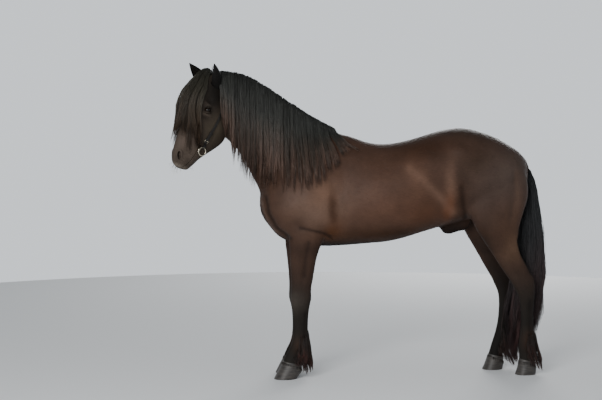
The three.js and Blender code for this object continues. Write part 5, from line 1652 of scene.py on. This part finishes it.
def coat_tufts():
    """Three pieces of tufts: over each side of the trunk and the neck, and over the head and the legs."""
    t = np.linspace(0, 1, 4)
    for place, where in (("left", on_left), ("right", on_right), ("head_and_legs", on_rest)):
        at, out = skin_samples(TUFTS, lambda spots: where(spots) * (1 + 2 * longer_coat(spots)[0]))
        extra, rise = longer_coat(at)[1:]
        size = np.where(in_head(at)[1] > 0.5, 0.42, np.clip(in_body(at)[:, 2] / 0.8, 0.55, 1))
        length = (size * 19 * (0.7 + 0.6 * rng.random(len(at))) + extra) * MM
        lift = (0.5 * size + rise * (0.4 + 0.6 * rng.random(len(at)))) * MM
        heights = -0.0006 + (0.0010 * size)[:, None] * np.minimum(1, 3 * t) + lift[:, None] * t ** 2
        way = coat_lie(at, out)
        paths = on_skin(at[:, None] + way[:, None] * (length[:, None] * t)[..., None], heights)
        half_width = size * 1.25 * MM * (0.7 + 0.6 * rng.random(len(at)))
        thick = half_width[:, None] * np.array((0.7, 1.0, 0.7, 0.0))
        shade = (0.88 + 0.3 * rng.random(len(at)))[:, None, None]
        shade = shade * np.array((0.96, 1.0, 1.06, 1.12))[:, None]
        colours = coat_colour(at)[:, None] * shade
        grow(f"coat_tufts_{place}", paths, thick, colours, skin_places(at), COAT, "coat",
             outs=out, flat=0.24)


# Where whiskers grow: drop, front, aside
WHISKERS = ((528, -34, 14), (545, 10, 12), (505, 6, 34))


def on_lips(at):
    """How thickly whiskers grow at points of the frame."""
    return sum(swell(in_head(at)[0], on_head(drop, front, side * aside), (0.022, 0.02, 0.016))
               for drop, front, aside in WHISKERS for side in (-1, 1))


def fine_hairs():
    """Whiskers on the lips and chin, lashes on the upper lids and hair in the cups of the ears."""
    paths, thick = [], []
    t = np.linspace(0, 1, 5)[:, None]
    at, out = skin_samples(110, on_lips)
    for root, way in zip(at, out):
        size = 0.016 + 0.022 * rng.random()
        bend = way + rng.normal(0, 0.25, 3)
        paths.append(root - way * 0.001 + bend * size * t + np.array((0, 0, -0.35)) * size * t ** 2)
        thick.append(np.full(5, 0.00028))
    for side in (-1, 1):
        lid = [HEAD @ ring[2] for ring in lid_ring(side, True)][5:21]
        for _ in range(60):
            spot = rng.random() * (len(lid) - 1.01)
            root = np.array(lid[int(spot)].lerp(lid[int(spot) + 1], spot % 1))
            way = np.array(HEAD.to_3x3() @ Vector((-0.35, side, -0.25))) + rng.normal(0, 0.12, 3)
            size = 0.009 + 0.006 * rng.random()
            paths.append(root + way * size * t + np.array((0, 0, -0.3)) * size * t ** 2)
            thick.append(np.full(5, 0.00030))
        for _ in range(420):
            high = 12 + 98 * rng.random()
            wide = np.interp(high, (0, 30, 62, 95, 124), (22, 25, 25, 19, 9))
            u = rng.uniform(-1, 1)
            root = Vector((9 * (1 - u * u) - 4, u * wide * 0.86, high))
            reach = Vector((-10 - 5 * rng.random(), -u * 5, 15 + 9 * rng.random()))
            reach = reach * (0.6 + 0.5 * rng.random())
            spots = [root + reach * float(s) + Vector((0, 0, 3)) * float(s) ** 2 for s in t[:, 0]]
            paths.append(np.array([ear_stands[side] @ (spot * MM) for spot in spots]))
            thick.append(np.full(5, 0.0005) * (1 - 0.5 * t[:, 0]))
    paths = np.array(paths)
    colours = np.tile(linear("#1d1a17"), (len(paths), 5, 1)) * (0.7 + 0.9 * rng.random((len(paths), 1, 1)))
    places = skin_places(paths[:, 0])
    grow("whiskers_lashes_and_ear_hair", paths, np.array(thick), colours, places, HAIR, "coat")


mane()
forelock()
tail()
feather()
coat_tufts()
fine_hairs()


# Stage

# Soft boxes: name, place, edge in metres, power in watts
LAMPS = [("key", (-2.8, -6.5, 3.2), 3.0, 420), ("fill", (2.5, 6.5, 3.2), 3.0, 200)]


def studio_floor():
    """A round pale floor, wide enough for every view."""
    bm = bmesh.new()
    bmesh.ops.create_circle(bm, cap_ends=True, segments=96, radius=5.5)
    piece = loose("floor", mesh_of("floor", bm))
    material, tree, surface = blank("pale_studio_floor", roughness=0.8)
    surface.inputs["Base Color"].default_value = linear("#e9ebec")
    piece.data.materials.append(material)


def studio_light():
    """A room that is pale near the horizon and greyer overhead, and a soft box on each side of the horse."""
    world = bpy.data.worlds.new("studio")
    world.use_nodes = True
    tree = world.node_tree
    way = add(tree, "TexCoord").outputs["Generated"]
    height = add(tree, "SeparateXYZ", {"Vector": way})
    sky = add(tree, "ValToRGB", {"Fac": height.outputs["Z"]})
    for stop, place, code in zip(sky.color_ramp.elements, (0.08, 0.55), ("#e6ebf0", "#7d8083")):
        stop.position, stop.color = place, linear(code)
    background = tree.nodes["Background"].inputs
    tree.links.new(sky.outputs["Color"], background["Color"])
    background["Strength"].default_value = 1.15
    bpy.context.scene.world = world
    for name, place, size, power in LAMPS:
        light = bpy.data.lights.new(name, "AREA")
        light.size, light.energy = size, power
        lamp = loose(name, light)
        lamp.location = place
        lamp.rotation_euler = (Vector((0, 0, 0.9)) - Vector(place)).to_track_quat("-Z", "Y").to_euler()


def camera():
    """It stands 10.4 m off, a little ahead of square to the horse, at 1.755 m, tipped down by 4 degrees."""
    distance, yaw, height, tip = 10.416, math.radians(6.06), 1.755, math.radians(3.98)
    focal_pixels, image_pixels = 1790, 602
    lens = bpy.data.cameras.new("camera")
    lens.sensor_width = 36
    lens.lens = focal_pixels * lens.sensor_width / image_pixels
    viewpoint = loose("camera", lens)
    viewpoint.location = (FRONT_SHIFT - distance * math.sin(yaw), -distance * math.cos(yaw), height)
    viewpoint.rotation_euler = (math.pi / 2 - tip, 0, -yaw)
    bpy.context.scene.camera = viewpoint


studio_floor()
studio_light()
camera()
